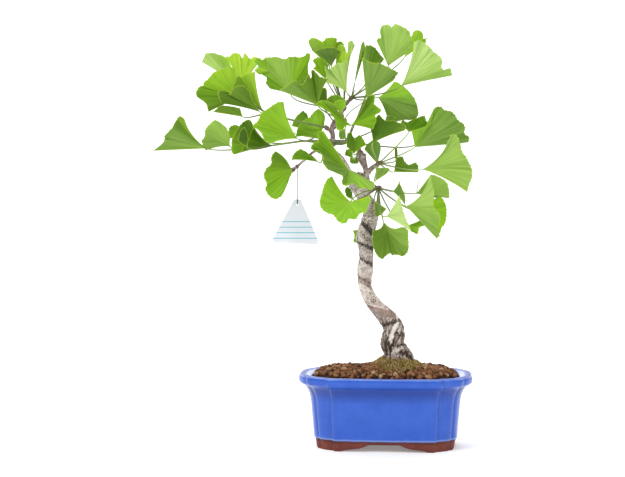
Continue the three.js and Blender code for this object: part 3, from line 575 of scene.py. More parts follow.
LIMBS = {
    "top": [[338, 116.5, 4, 1.9], [344, 106.5, 4, 1.9], [350, 99.5, 4, 2]],
    "crown": [[332.5, 124, 4, 1.9], [339, 116, 10, 1.9], [343, 110, 15, 1.9]],
    "left": [[332, 141, 5, 2.3], [329, 141.2, 1, 2], [325.5, 141, -1, 1.8]],
    "leftHigh": [[333, 135, 5, 2.2], [330.5, 131, 9, 1.9], [328, 129, 11, 1.7]],
    "front": [[332, 129, 4, 2.1], [338, 124.5, -4, 1.9], [343, 121.5, -12, 1.7]],
    "stem": [
        [361, 196, 1, 4.4], [366.5, 188, 0, 3.4], [366.8, 178, 0, 2.9], [365.3, 168, 1, 2.6],
        [361.3, 158, 1, 3.9], [359.8, 152.6, 0, 3.6],
    ],
    "knob": [[365.3, 167, 1, 2.5], [364, 159, 0, 2.5], [364.2, 153.8, -1, 2.2]],
    "right": [[366.8, 174, 0, 2.7], [372.5, 167.5, -1, 2.4], [377, 164.5, -2, 2]],
    "lowRight": [[363, 196, 1, 4.4], [368.5, 191.5, -1, 3.3], [372.5, 189.5, -3, 2.4], [376, 188.5, -4, 1.9]],
    "stub": [[366.5, 179, 1, 2.8], [361, 175.5, 2, 3.2], [357, 174, 3, 2.7]],
    "twig": [
        [330.5, 147.5, 5, 2.4], [326, 147.6, 0, 1.8], [315, 151, -4, 1.5], [304.5, 160, -8, 1.4],
        [297, 166.5, -10, 1.5], [294.5, 168.5, -10, 1.6],
    ],
    "back": [[330, 146, 6, 2.8], [337, 142.5, 15, 2.2], [346, 141.5, 24, 1.9]],
    "sideLobe": [[398, 346, -4, 5], [401, 335, -4, 4.2], [400.2, 326, -3, 2.8]],
    "knee": [[390, 349, -5, 6.4], [385.5, 341, -3, 4.6], [387, 335, -1, 2.4]],
}
# Roots at the foot: [direction in degrees, how far they reach past FOOT_RADIUS, half width in degrees].
ROOTS = [[-8, 6, 24], [70, 3.5, 30], [150, 3.4, 28], [205, 2.2, 24], [262, 4.6, 30], [310, 2.6, 24]]
FOOT_RADIUS = 11.5
# How many of the trunk's rows its foot flares over, and the depths of the rows that are in the soil.
FLARE_STEPS = 4
BURIED = (16, 11, 6, 3)
TRUNK_STEPS, TRUNK_SIDES = 8, 48
LIMB_STEPS, LIMB_SIDES = 4, 18
SPIRAL = 0.55
BARK_CELL = 0.6
SEARCH = 4000
foot_middle = seen(TRUNK[0])
# Healed marks of training wire: [across, down] of the left and right end, both widths, dark, sunk, red share.
# Their dark is partly the marks' own bark and partly painted shade in their sunk grooves.
SCARS = [
    [361, 222, 373.5, 234.5, 6, 9, 0.95, 0.7, 0], [358, 236.5, 373, 240, 1.6, 2, 0.5, 0.35, 0],
    [358, 242.5, 373.6, 249, 2.4, 6.5, 0.95, 0.8, 0], [359, 258, 374, 266, 2.8, 5.5, 0.9, 0.7, 0],
    [357, 277.5, 372.5, 286, 3.4, 3.8, 0.7, 0.4, 0.7], [366, 305, 389, 312, 3, 7, 0.4, 0.25, 1],
    [379, 327.5, 394, 322, 3.4, 4, 0.8, 0.7, 0],
]
# How far a mark wanders, its width behind the trunk, the shares of its width that are dark and reddish, and
# how wide its lips are. Then the two lips: [side, distance, height].
WIRE = {"wander": 1.1, "back_width": 2.5, "core": 0.56, "blush": 0.8, "lip": 1.3}
LIPS = [[0.5, 1.6, 0.6], [-0.5, -1.3, 0.4]]
# Furrows and ridges on the front of the wood: [across, down] of both ends, width, dark (pale below 0), lift.
# Dark strokes are partly dark bark and partly painted shade in furrows and hollows; pale ones are partly pale
# bark and partly painted highlight on ridges.
STROKES = [
    [384.5, 344, 386, 354, 5, 1, -1.4], [387.5, 344, 390.5, 351, 4.5, 1, -2],
    [386, 336, 389.5, 331, 1.8, 0.9, -0.9], [389, 333, 385.5, 342, 1.6, 0.8, -0.8],
    [393.5, 342, 397.5, 330, 2, 1, -1.1], [397.5, 330, 401, 322, 1.4, 0.7, -0.7],
    [400, 335, 396, 344, 1.6, 0.8, -0.8], [404, 326, 403.5, 338, 1.4, 0.5, -0.5],
    [391, 346.5, 403, 344, 2, 0.8, -1], [397.8, 315, 397, 323, 3.4, -1.2, 0.6],
    [397, 323, 390, 340, 4, -1.25, 0.8], [392.5, 352, 402, 348, 5, -0.7, 0.5],
    [384.5, 340, 381.5, 346, 3.4, 0.6, 0], [405, 353, 412, 360, 7, 0.9, 0.3],
    [386, 360, 400, 357, 4, 0.7, -0.4], [403.5, 345, 407, 356, 3, 0.7, -0.5],
    [382.5, 357, 384, 362, 5, 0.8, 0], [395, 353.5, 405, 356.5, 1.5, 0.7, -0.5],
    [388.5, 313, 391, 324, 1.2, 0.6, -0.4], [383, 312, 387, 323, 1, 0.5, -0.3],
    [378, 309, 383, 321, 0.9, 0.5, -0.3], [364, 266, 366, 274, 0.9, 0.3, -0.2],
    [369, 268, 369.5, 276, 0.8, 0.3, -0.2], [359, 288.2, 374, 292, 1.5, -0.8, 0.3],
    [367, 304, 387, 309, 1.4, -0.8, 0.3], [358, 268, 366, 265.5, 3, -0.7, 0.4],
    [359.5, 266, 360.5, 275, 4, -0.6, 0.2], [364, 152, 364.4, 154, 3.4, 1, 0],
    [357.5, 174, 363, 176, 4.4, 0.7, 0], [362, 262, 363, 276, 0.9, 0.35, -0.2],
    [385, 330, 390, 328, 3, 0.4, 0], [358, 276.5, 372.5, 284, 0.9, 0.9, -0.3],
    [358.5, 281, 371.5, 288.5, 0.9, 0.9, -0.3], [394, 336, 389, 346, 1.6, -0.8, 0.4],
    [400.5, 329, 399, 342, 2.2, -0.5, 0.3],
]
KNOT = (373.4, 299.6)


def foot_reach(angle):
    reach = np.full_like(angle, FOOT_RADIUS)
    for direction, extra, half in ROOTS:
        away = np.angle(np.exp(1j * (angle - math.radians(direction))))
        reach = reach + extra * np.exp(-((away / math.radians(half)) ** 2))
    return reach


def limb_path(limb, steps):
    path = smooth([seen(p) for p in limb], steps)
    radii = np.interp(np.arange(len(path)) / steps, np.arange(len(limb)), [p[3] for p in limb])
    return path, radii


def fused_wood(path, radii):
    """One closed mesh of the trunk, its foot and its limbs."""

    def reach(k, angles):
        step = max(0, k - len(BURIED)) / TRUNK_STEPS * 2 + 1
        flare = max(0.0, 1 - max(0.0, step - 2) / FLARE_STEPS) ** 1.6
        ridges = 1 + 0.05 * np.sin(3 * angles + step * SPIRAL) + 0.03 * np.sin(5 * angles - step * 1.3)
        return radii[k] * ridges * (1 - flare) + foot_reach(angles) * flare

    wood = Piece()
    wood.add(*tube(path, reach, TRUNK_SIDES)[:2])
    for limb in LIMBS.values():
        limb_points, limb_radii = limb_path(limb, LIMB_STEPS)
        wood.add(*tube(limb_points, lambda k, _: limb_radii[k], LIMB_SIDES)[:2])
    lump = link(wood.mesh("raw_wood"), "raw_wood")
    fuse = lump.modifiers.new("fuse", "REMESH")
    fuse.mode, fuse.voxel_size = "VOXEL", BARK_CELL * MM
    lump.modifiers.new("soften", "SMOOTH").iterations = 4
    mesh = applied(lump)
    bpy.data.objects.remove(lump)
    return mesh


def bark_relief(points, centre, radii):
    """How far each point of the bark stands out, and its share of each kind of mark, whose dark and pale hold
    painted shade and painted highlight as well as the bark's own colour.
    """
    across, down = sheet_of(points)
    on_trunk = np.linalg.norm(points - centre, axis=1) < radii * 1.35 + 1
    front = points[:, 1] < centre[:, 1] + 1
    blotch = rough(points, 0.35, 4.0)
    ragged = rough(points, 0.9, 8.0)
    scar_and_shade, red, pale, lift = (np.zeros(len(points)) for _ in range(4))
    for left, top, right, low, wide_left, wide_right, dark, deep, reddish in SCARS:
        share = np.clip((across - left) / (right - left), -0.3, 1.3)
        line = np.where(front, top + (low - top) * share, low + (top - low) * share - (low - top) * 0.25)
        width = wide_left + (wide_right - wide_left) * np.clip(share, 0, 1)
        width = np.where(front, width, WIRE["back_width"])
        away = down - line + WIRE["wander"] * (blotch + ragged)
        # The dark core: partly the healed bark's own dark, partly painted shade in the sunk groove.
        core = np.exp(-((away / (width * WIRE["core"])) ** 4)) * on_trunk
        scar_and_shade = np.maximum(scar_and_shade, core * dark * (1 + 0.5 * ragged) * (1 - 0.5 * reddish))
        red = np.maximum(red, np.exp(-((away / (width * WIRE["blush"])) ** 2)) * reddish * on_trunk)
        lift -= core * deep * 0.9
        for side, distance, high in LIPS:
            lip = np.exp(-(((away + width * side + distance) / WIRE["lip"]) ** 2))
            lift += lip * deep * high * on_trunk
    for x0, y0, x1, y1, width, dark, rise in STROKES:
        part = ((across - x0) * (x1 - x0) + (down - y0) * (y1 - y0)) / ((x1 - x0) ** 2 + (y1 - y0) ** 2)
        part = np.clip(part, 0, 1)
        away = np.hypot(across - x0 - (x1 - x0) * part, down - y0 - (y1 - y0) * part)
        away = np.maximum(away + 1.2 * ragged + 0.6 * blotch, 0)
        core = np.exp(-((away / (width * 0.46)) ** 2)) * front
        lift += core * rise
        # Dark strokes add to the dark mark, partly as painted shade; pale strokes add to the pale mark,
        # partly as painted highlight.
        scar_and_shade = np.maximum(scar_and_shade, core * max(dark, 0))
        pale = np.maximum(pale, core * max(-dark, 0))
    old = np.clip((down - 300) / 34, 0, 1)
    along = points * [1, 1, 0.28]
    furrow = 1 - abs(rough(along, 0.32, 3.0)) * 2.2
    crack = np.clip(furrow - 0.55, 0, 1) * old * (1 - 0.8 * pale)
    lift += 0.55 * old * rough(points, 0.3, 9.0) + 0.28 * rough(along, 0.75, 5.0)
    lift += 0.16 * rough(points, 1.6, 2.0) - 1.5 * crack
    knot = np.hypot(across - KNOT[0], (down - KNOT[1]) * 0.85) + 0.55 * ragged
    lift += np.where(front, 0.6 * np.exp(-(((knot - 1.5) / 0.6) ** 2)), 0)
    rings = 1.1 * np.exp(-((knot / 1.1) ** 2)) + 0.9 * np.exp(-(((knot - 2.4) / 0.6) ** 2))
    scar_and_shade = np.maximum(scar_and_shade, np.where(front, rings, 0))
    # Young wood is purple-brown: on the trunk only near its top, and on most limbs.
    on_stem = np.interp(down, [138, 150, 190], [1, 0.15, 0.05])
    on_limb = np.interp(down, [152, 162, 172, 180, 186, 192], [1, 0.8, 0.4, 0.35, 0.7, 0.5]) * (down < 200)
    speck = np.interp(down, [150, 200, 258, 268, 286, 304, 314, 330], [0.6, 1, 1, 0.35, 0.3, 0.2, 0.5, 0.9])
    foot = 1 - np.clip((364 - down + 3 * blotch) / 9, 0, 1)
    return lift, {
        "scar_and_shade": scar_and_shade, "red": red, "crack": crack, "old": old, "foot": foot, "pale": pale,
        "high": np.where(on_trunk, on_stem, on_limb) * (0.8 + 0.5 * blotch), "speck": speck,
    }


def make_trunk():
    path, radii = limb_path(TRUNK, TRUNK_STEPS)
    path = np.concatenate([[foot_middle - [0, 0, d] for d in BURIED], path])
    radii = np.concatenate([[radii[0]] * len(BURIED), radii])
    mesh = fused_wood(path, radii)
    points = read(mesh, "co") / MM - SHIFT
    nearest = np.zeros(len(points), int)
    for start in range(0, len(points), SEARCH):
        part = points[start:start + SEARCH]
        nearest[start:start + SEARCH] = ((part[:, None] - path[None]) ** 2).sum(2).argmin(1)
    lift, marks = bark_relief(points, path[nearest], radii[nearest])
    move(mesh, (points + read(mesh, "normal") * lift[:, None] + SHIFT) * MM)
    for name, value in marks.items():
        paint(mesh, name, np.clip(value, 0, 1))
    mesh.polygons.foreach_set("use_smooth", [True] * len(mesh.polygons))
    mesh.materials.clear()
    mesh.materials.append(bark())
    show(mesh, "bark_trunk", ["trunk"])


def bark():
    net = Net("bark")
    patches = net.noise(130, 4, 0.6)
    streaks = net.noise(330, 5, 0.7, net.stretch((1, 1, 0.3)))
    specks = net.noise(620, 2, 0.6, net.stretch((0.8, 0.8, 1.3)))
    flecks = net.noise(1300, 3, 0.7)
    speck = net.value("speck")
    young = net.ramp(patches, [(0.3, (158, 143, 133)), (0.5, (206, 194, 184)), (0.7, (236, 227, 218))])
    old = net.ramp(patches, [(0.3, (122, 104, 94)), (0.52, (178, 162, 150)), (0.75, (236, 227, 218))])
    base = net.mix(net.value("old"), young, old)
    high = net.times(net.value("high"), net.range(specks, 0.35, 0.6, 0.7, 1))
    breaks_and_shade = net.plus(net.value("scar_and_shade"), net.swing(streaks, 1.3))
    breaks_and_shade = net.plus(breaks_and_shade, net.swing(flecks, 1.1))
    base = net.coats(base, [
        (net.range(streaks, 0.5, 0.66, 0, 0.75), (104, 88, 76)),
        (net.times(net.range(specks, 0.52, 0.6, 0, 0.85), speck), (84, 68, 58)),
        (net.times(net.range(flecks, 0.56, 0.68, 0, 0.7), speck), (76, 62, 54)),
        (net.times(net.range(flecks, 0.42, 0.34, 0, 0.6), speck), (240, 234, 228)),
        (net.times(net.value("red"), 0.7), (126, 90, 80)),
        # Pale ridges from the strokes: partly pale bark, partly painted highlight.
        (net.range(net.value("pale"), 0.15, 0.8, 0, 0.85), (232, 226, 220)),
        (high, (98, 72, 70)),
        # Dark breaks in the bark, with the painted shade of the scars and dark strokes in them.
        (net.range(breaks_and_shade, 0.35, 0.85, 0, 0.92), (46, 37, 32)),
        (net.range(net.value("crack"), 0.05, 0.3, 0, 0.92), (44, 34, 28)),
        (net.range(net.value("foot"), 0.1, 0.9, 0, 0.8), (74, 58, 38)),
    ])
    net.set(Base_Color=base, Roughness=0.85, Specular_IOR_Level=0.25)
    net.bump(net.plus(net.times(streaks, 0.7), net.times(flecks, 0.3)), 0.6, 0.7)
    return net.material


# ---------------------------------------------------------------- soil
SOIL = {"edge": 68.6, "dome": 8.6, "mound": 8.2, "radius": 21, "inset": 14.6, "bed": 1.6}
# The soil's hidden side in the pot: [inset from the rim's outline, height], and the rows of its top.
SOIL_WALL = [[26.3, 15.3], [23.5, 17.5], [18.5, 50.2], [16.2, 62]]
SOIL_ROWS = [0.999, 0.96, 0.9, 0.8, 0.7, 0.6, 0.5, 0.4, 0.3, 0.22]
# Grains: count, mean radius, ball level, seed, how far they stand out, and the inset of the ground they fill.
GRAINS = {
    "soil_grains": [420, 2.75, 2, 11, 0.05, SOIL["inset"] - 0.6],
    "soil_crumbs": [900, 1.25, 1, 12, 0.9, SOIL["inset"]],
}
# The half sizes of the ground that grains are tried on.
GROUND = (70, 49)
MOSS = {"side": 25, "front": 37, "back": 23, "high": 6.5, "blades": 9000, "seed": 21, "sides": 90}
MOSS_ROWS = (1.02, 0.98, 0.9, 0.8, 0.7, 0.6, 0.5, 0.4, 0.3)
MOSS_SKIRT = 3
# Faces of a blade of moss: its three sides in two storeys, and its foot.
MOSS_FACES = [(0, 1, 4, 3), (1, 2, 5, 4), (2, 0, 3, 5), (3, 4, 6), (4, 5, 6), (5, 3, 6), (0, 2, 1)]


def soil_height(x, y):
    inside_x = 1 - (x / (POT["length"] / 2 - SOIL["inset"])) ** 2
    inside_y = 1 - (y / (POT["depth"] / 2 - SOIL["inset"])) ** 2
    dome = np.sqrt(np.maximum(0, np.minimum(inside_x, inside_y))) * SOIL["dome"]
    from_trunk = np.hypot(x - foot_middle[0], y - foot_middle[1]) / SOIL["radius"]
    return SOIL["edge"] + dome + SOIL["mound"] * np.exp(-(from_trunk**2))


def reach_of(inset):
    """The directions of the pot's outline at that inset, in rising order, and how far away it lies there."""
    outline = pot_outline(inset)
    angle = np.arctan2(outline[:, 1], outline[:, 0])
    order = np.argsort(angle)
    return angle[order], np.hypot(outline[:, 0], outline[:, 1])[order]


def inside(x, y, inset):
    """True where a point lies in the pot's outline at that inset."""
    return np.hypot(x, y) < np.interp(math.atan2(y, x), *reach_of(inset), period=TURN)


def moss_share(x, y):
    """How far out a point lies on the mossy mound: 0 at the trunk and 1 at the mound's edge."""
    away_x, away_y = x - foot_middle[0], y - foot_middle[1]
    reach_y = np.where(away_y < 0, MOSS["front"], MOSS["back"])
    return np.hypot(away_x / MOSS["side"], away_y / reach_y)


def moss_point(angle, share):
    """The place on the ground that lies that far out on the mossy mound, in that direction."""
    reach_y = np.where(np.sin(angle) < 0, MOSS["front"], MOSS["back"])
    away_x, away_y = MOSS["side"] * share * np.cos(angle), reach_y * share * np.sin(angle)
    return foot_middle[0] + away_x, foot_middle[1] + away_y


def grain_shape(level):
    ball = bmesh.new()
    bmesh.ops.create_icosphere(ball, subdivisions=level, radius=1.0)
    points = np.array([v.co[:] for v in ball.verts])
    faces = [[v.index for v in f.verts] for f in ball.faces]
    ball.free()
    return points, faces


def add_grains(piece, count, radius, level, seed, lift, inset):
    chance = np.random.default_rng(seed)
    ball, faces = grain_shape(level)
    placed = []
    while len(placed) < count:
        x = chance.uniform(-GROUND[0], GROUND[0])
        y = chance.uniform(-GROUND[1], GROUND[1])
        size = radius * chance.uniform(0.72, 1.25)
        if not inside(x, y, inset + size) or moss_share(x, y) < 0.72 + 0.3 * chance.uniform():
            continue
        if any((x - a) ** 2 + (y - b) ** 2 < (0.8 * (size + r)) ** 2 for a, b, r in placed):
            continue
        placed.append((x, y, size))
        z = float(soil_height(x, y)) + lift * size
        seed_at = chance.uniform(0, 90)
        lumps = 1 + 0.3 * rough(ball, 0.9, seed_at) + 0.12 * rough(ball, 2.6, seed_at + 7)
        squash = chance.uniform(0.75, 1.15, 3)
        turn = chance.uniform(0, TURN)
        shape = ball * lumps[:, None] * squash * size
        c, s = math.cos(turn), math.sin(turn)
        # Each grain takes two draws for its tone, and uses the first.
        tone, _ = chance.uniform(size=2)
        piece.add(shape @ [[c, s, 0], [-s, c, 0], [0, 0, 1]] + [x, y, z], faces, tone=tone)


def make_soil():
    outline = pot_outline(SOIL["inset"])
    rings = [ring_at(inset, z) for inset, z in SOIL_WALL]
    for share in SOIL_ROWS:
        x, y = (foot_middle[i] + (outline[:, i] - foot_middle[i]) * share for i in (0, 1))
        rings.append(np.column_stack([x, y, soil_height(x, y) - SOIL["bed"]]))
    skin = earth()
    # The bed under the grains gets a dark tone: painted shade in the gaps between the grains.
    Piece().add(*loft(rings), tone=0.08).make("soil_bed", [skin], "soil", ["soil"])
    for name, row in GRAINS.items():
        grains = Piece()
        add_grains(grains, *row)
        grains.make(name, [skin], "soil")


def earth():
    net = Net("soil_grain")
    pores = net.noise(900, 4, 0.7)
    shade = net.ramp(net.value("tone"), [
        (0, (40, 25, 15)), (0.2, (88, 56, 36)), (0.45, (118, 77, 50)), (0.7, (140, 95, 62)),
        (0.88, (154, 112, 76)), (0.96, (170, 136, 98)), (1, (196, 172, 134)),
    ])
    shade = net.coats(shade, [
        (net.range(pores, 0.45, 0.7, 0, 0.5), (66, 42, 28)),
        (net.range(net.noise(300, 3), 0.55, 0.75, 0, 0.4), (150, 112, 76)),
    ])
    net.set(Base_Color=shade, Roughness=0.95, Specular_IOR_Level=0.2)
    net.bump(pores, 0.7, 0.5)
    return net.material


def moss_height(x, y, share):
    """The mossy mound's height with its large lumps, at places that lie that far out on it."""
    flat = np.column_stack([x, y, 0 * x])
    return soil_height(x, y) + MOSS["high"] * max(0, 1 - share) ** 0.5 + 1.6 * rough(flat, 0.16, 6.0)


def moss_blade(chance, start):
    """The seven points of one blade of moss or bit of root."""
    length = chance.uniform(1.2, 3.6)
    heading = chance.uniform(0, TURN)
    rise = chance.uniform(0.1, 1.3)
    way = np.array([math.cos(heading), math.sin(heading), 0])
    side = np.array([-way[1], way[0], 0]) * chance.uniform(0.14, 0.34)
    low = [0, 0, -0.28]
    middle = start + way * length * 0.5 * math.cos(rise) + [0, 0, length * 0.6 * math.sin(rise) + 0.3]
    end = start + way * length * math.cos(rise) + [0, 0, length * math.sin(rise) * 0.7]
    return [start - side, start + side, start + low, middle - side, middle + side, middle + low, end]


def make_moss():
    """Fine roots and short moss on the mound round the trunk's foot."""
    chance = np.random.default_rng(MOSS["seed"])
    rings = []
    for share in MOSS_ROWS:
        x, y = moss_point(circle(MOSS["sides"]), share)
        small = 0.8 * rough(np.column_stack([x, y, 0 * x]), 0.4, 2.0)
        rings.append(np.column_stack([x, y, moss_height(x, y, share) + small - 1.4]))
    mound = Piece().add(*loft([rings[0] - [0, 0, MOSS_SKIRT], *rings]), tone=0.15)
    for _ in range(MOSS["blades"]):
        angle = chance.uniform(0, TURN)
        share = 0.36 + 0.66 * math.sqrt(chance.uniform())
        x, y = moss_point(angle, share)
        z = moss_height(x, y, share)[0] - 1.9 + chance.uniform(0, 1.8)
        mound.add(moss_blade(chance, np.array([x, y, z])), MOSS_FACES, tone=chance.uniform())
    net = Net("moss")
    shade = net.ramp(net.value("tone"), [
        (0, (70, 50, 24)), (0.2, (132, 98, 44)), (0.42, (184, 144, 66)), (0.6, (140, 132, 46)),
        (0.8, (214, 180, 96)), (0.9, (246, 230, 180)),
    ])
    net.set(Base_Color=shade, Roughness=0.9)
    mound.make("moss_mound", [net.material], "soil")


# ---------------------------------------------------------------- leaves
# Each spray's limb, material slot, how fresh and pale its leaf stalks are, and its shoot's later points.
SPRAYS = {
    "left": ["left", "leaf_mid", 0.25, [[305, 141, -4], [272, 145.5, 0]]],
    "left_high": ["leftHigh", "leaf_bright", 0.3, [[292, 120, 12], [266, 113, 10]]],
    "top_left": ["crown", "leaf_pale", 0.35, []],
    "top": ["top", "leaf_pale", 0.3, []],
    "front": ["front", "leaf_bright", 0.4, []],
    "middle": ["stem", "leaf_dark", 0.7, []],
    "right": ["right", "leaf_pale", 1.05, []],
    "low_right": ["lowRight", "leaf_pale", 0.35, []],
    "twig": ["twig", "leaf_mid", 0.3, []],
    "back": ["back", "leaf_dark", 0.15, []],
}
# Leaf colours. Besides the leaves' own greens, the light tones carry painted light and the dark tones painted
# shade, from how each leaf lay in the light.
TONES = {
    "night": (60, 96, 4), "deep": (78, 116, 6), "dark": (94, 130, 10), "leaf": (112, 156, 12),
    "grass": (114, 148, 42), "mid": (128, 172, 22), "bright": (144, 190, 24), "fresh": (158, 206, 54),
    "lime": (182, 218, 60), "sun": (200, 228, 70), "grey": (122, 156, 68), "sage": (140, 172, 80),
    "soft": (166, 198, 92), "pale": (188, 216, 120), "milky": (202, 226, 142), "mint": (204, 228, 146),
}
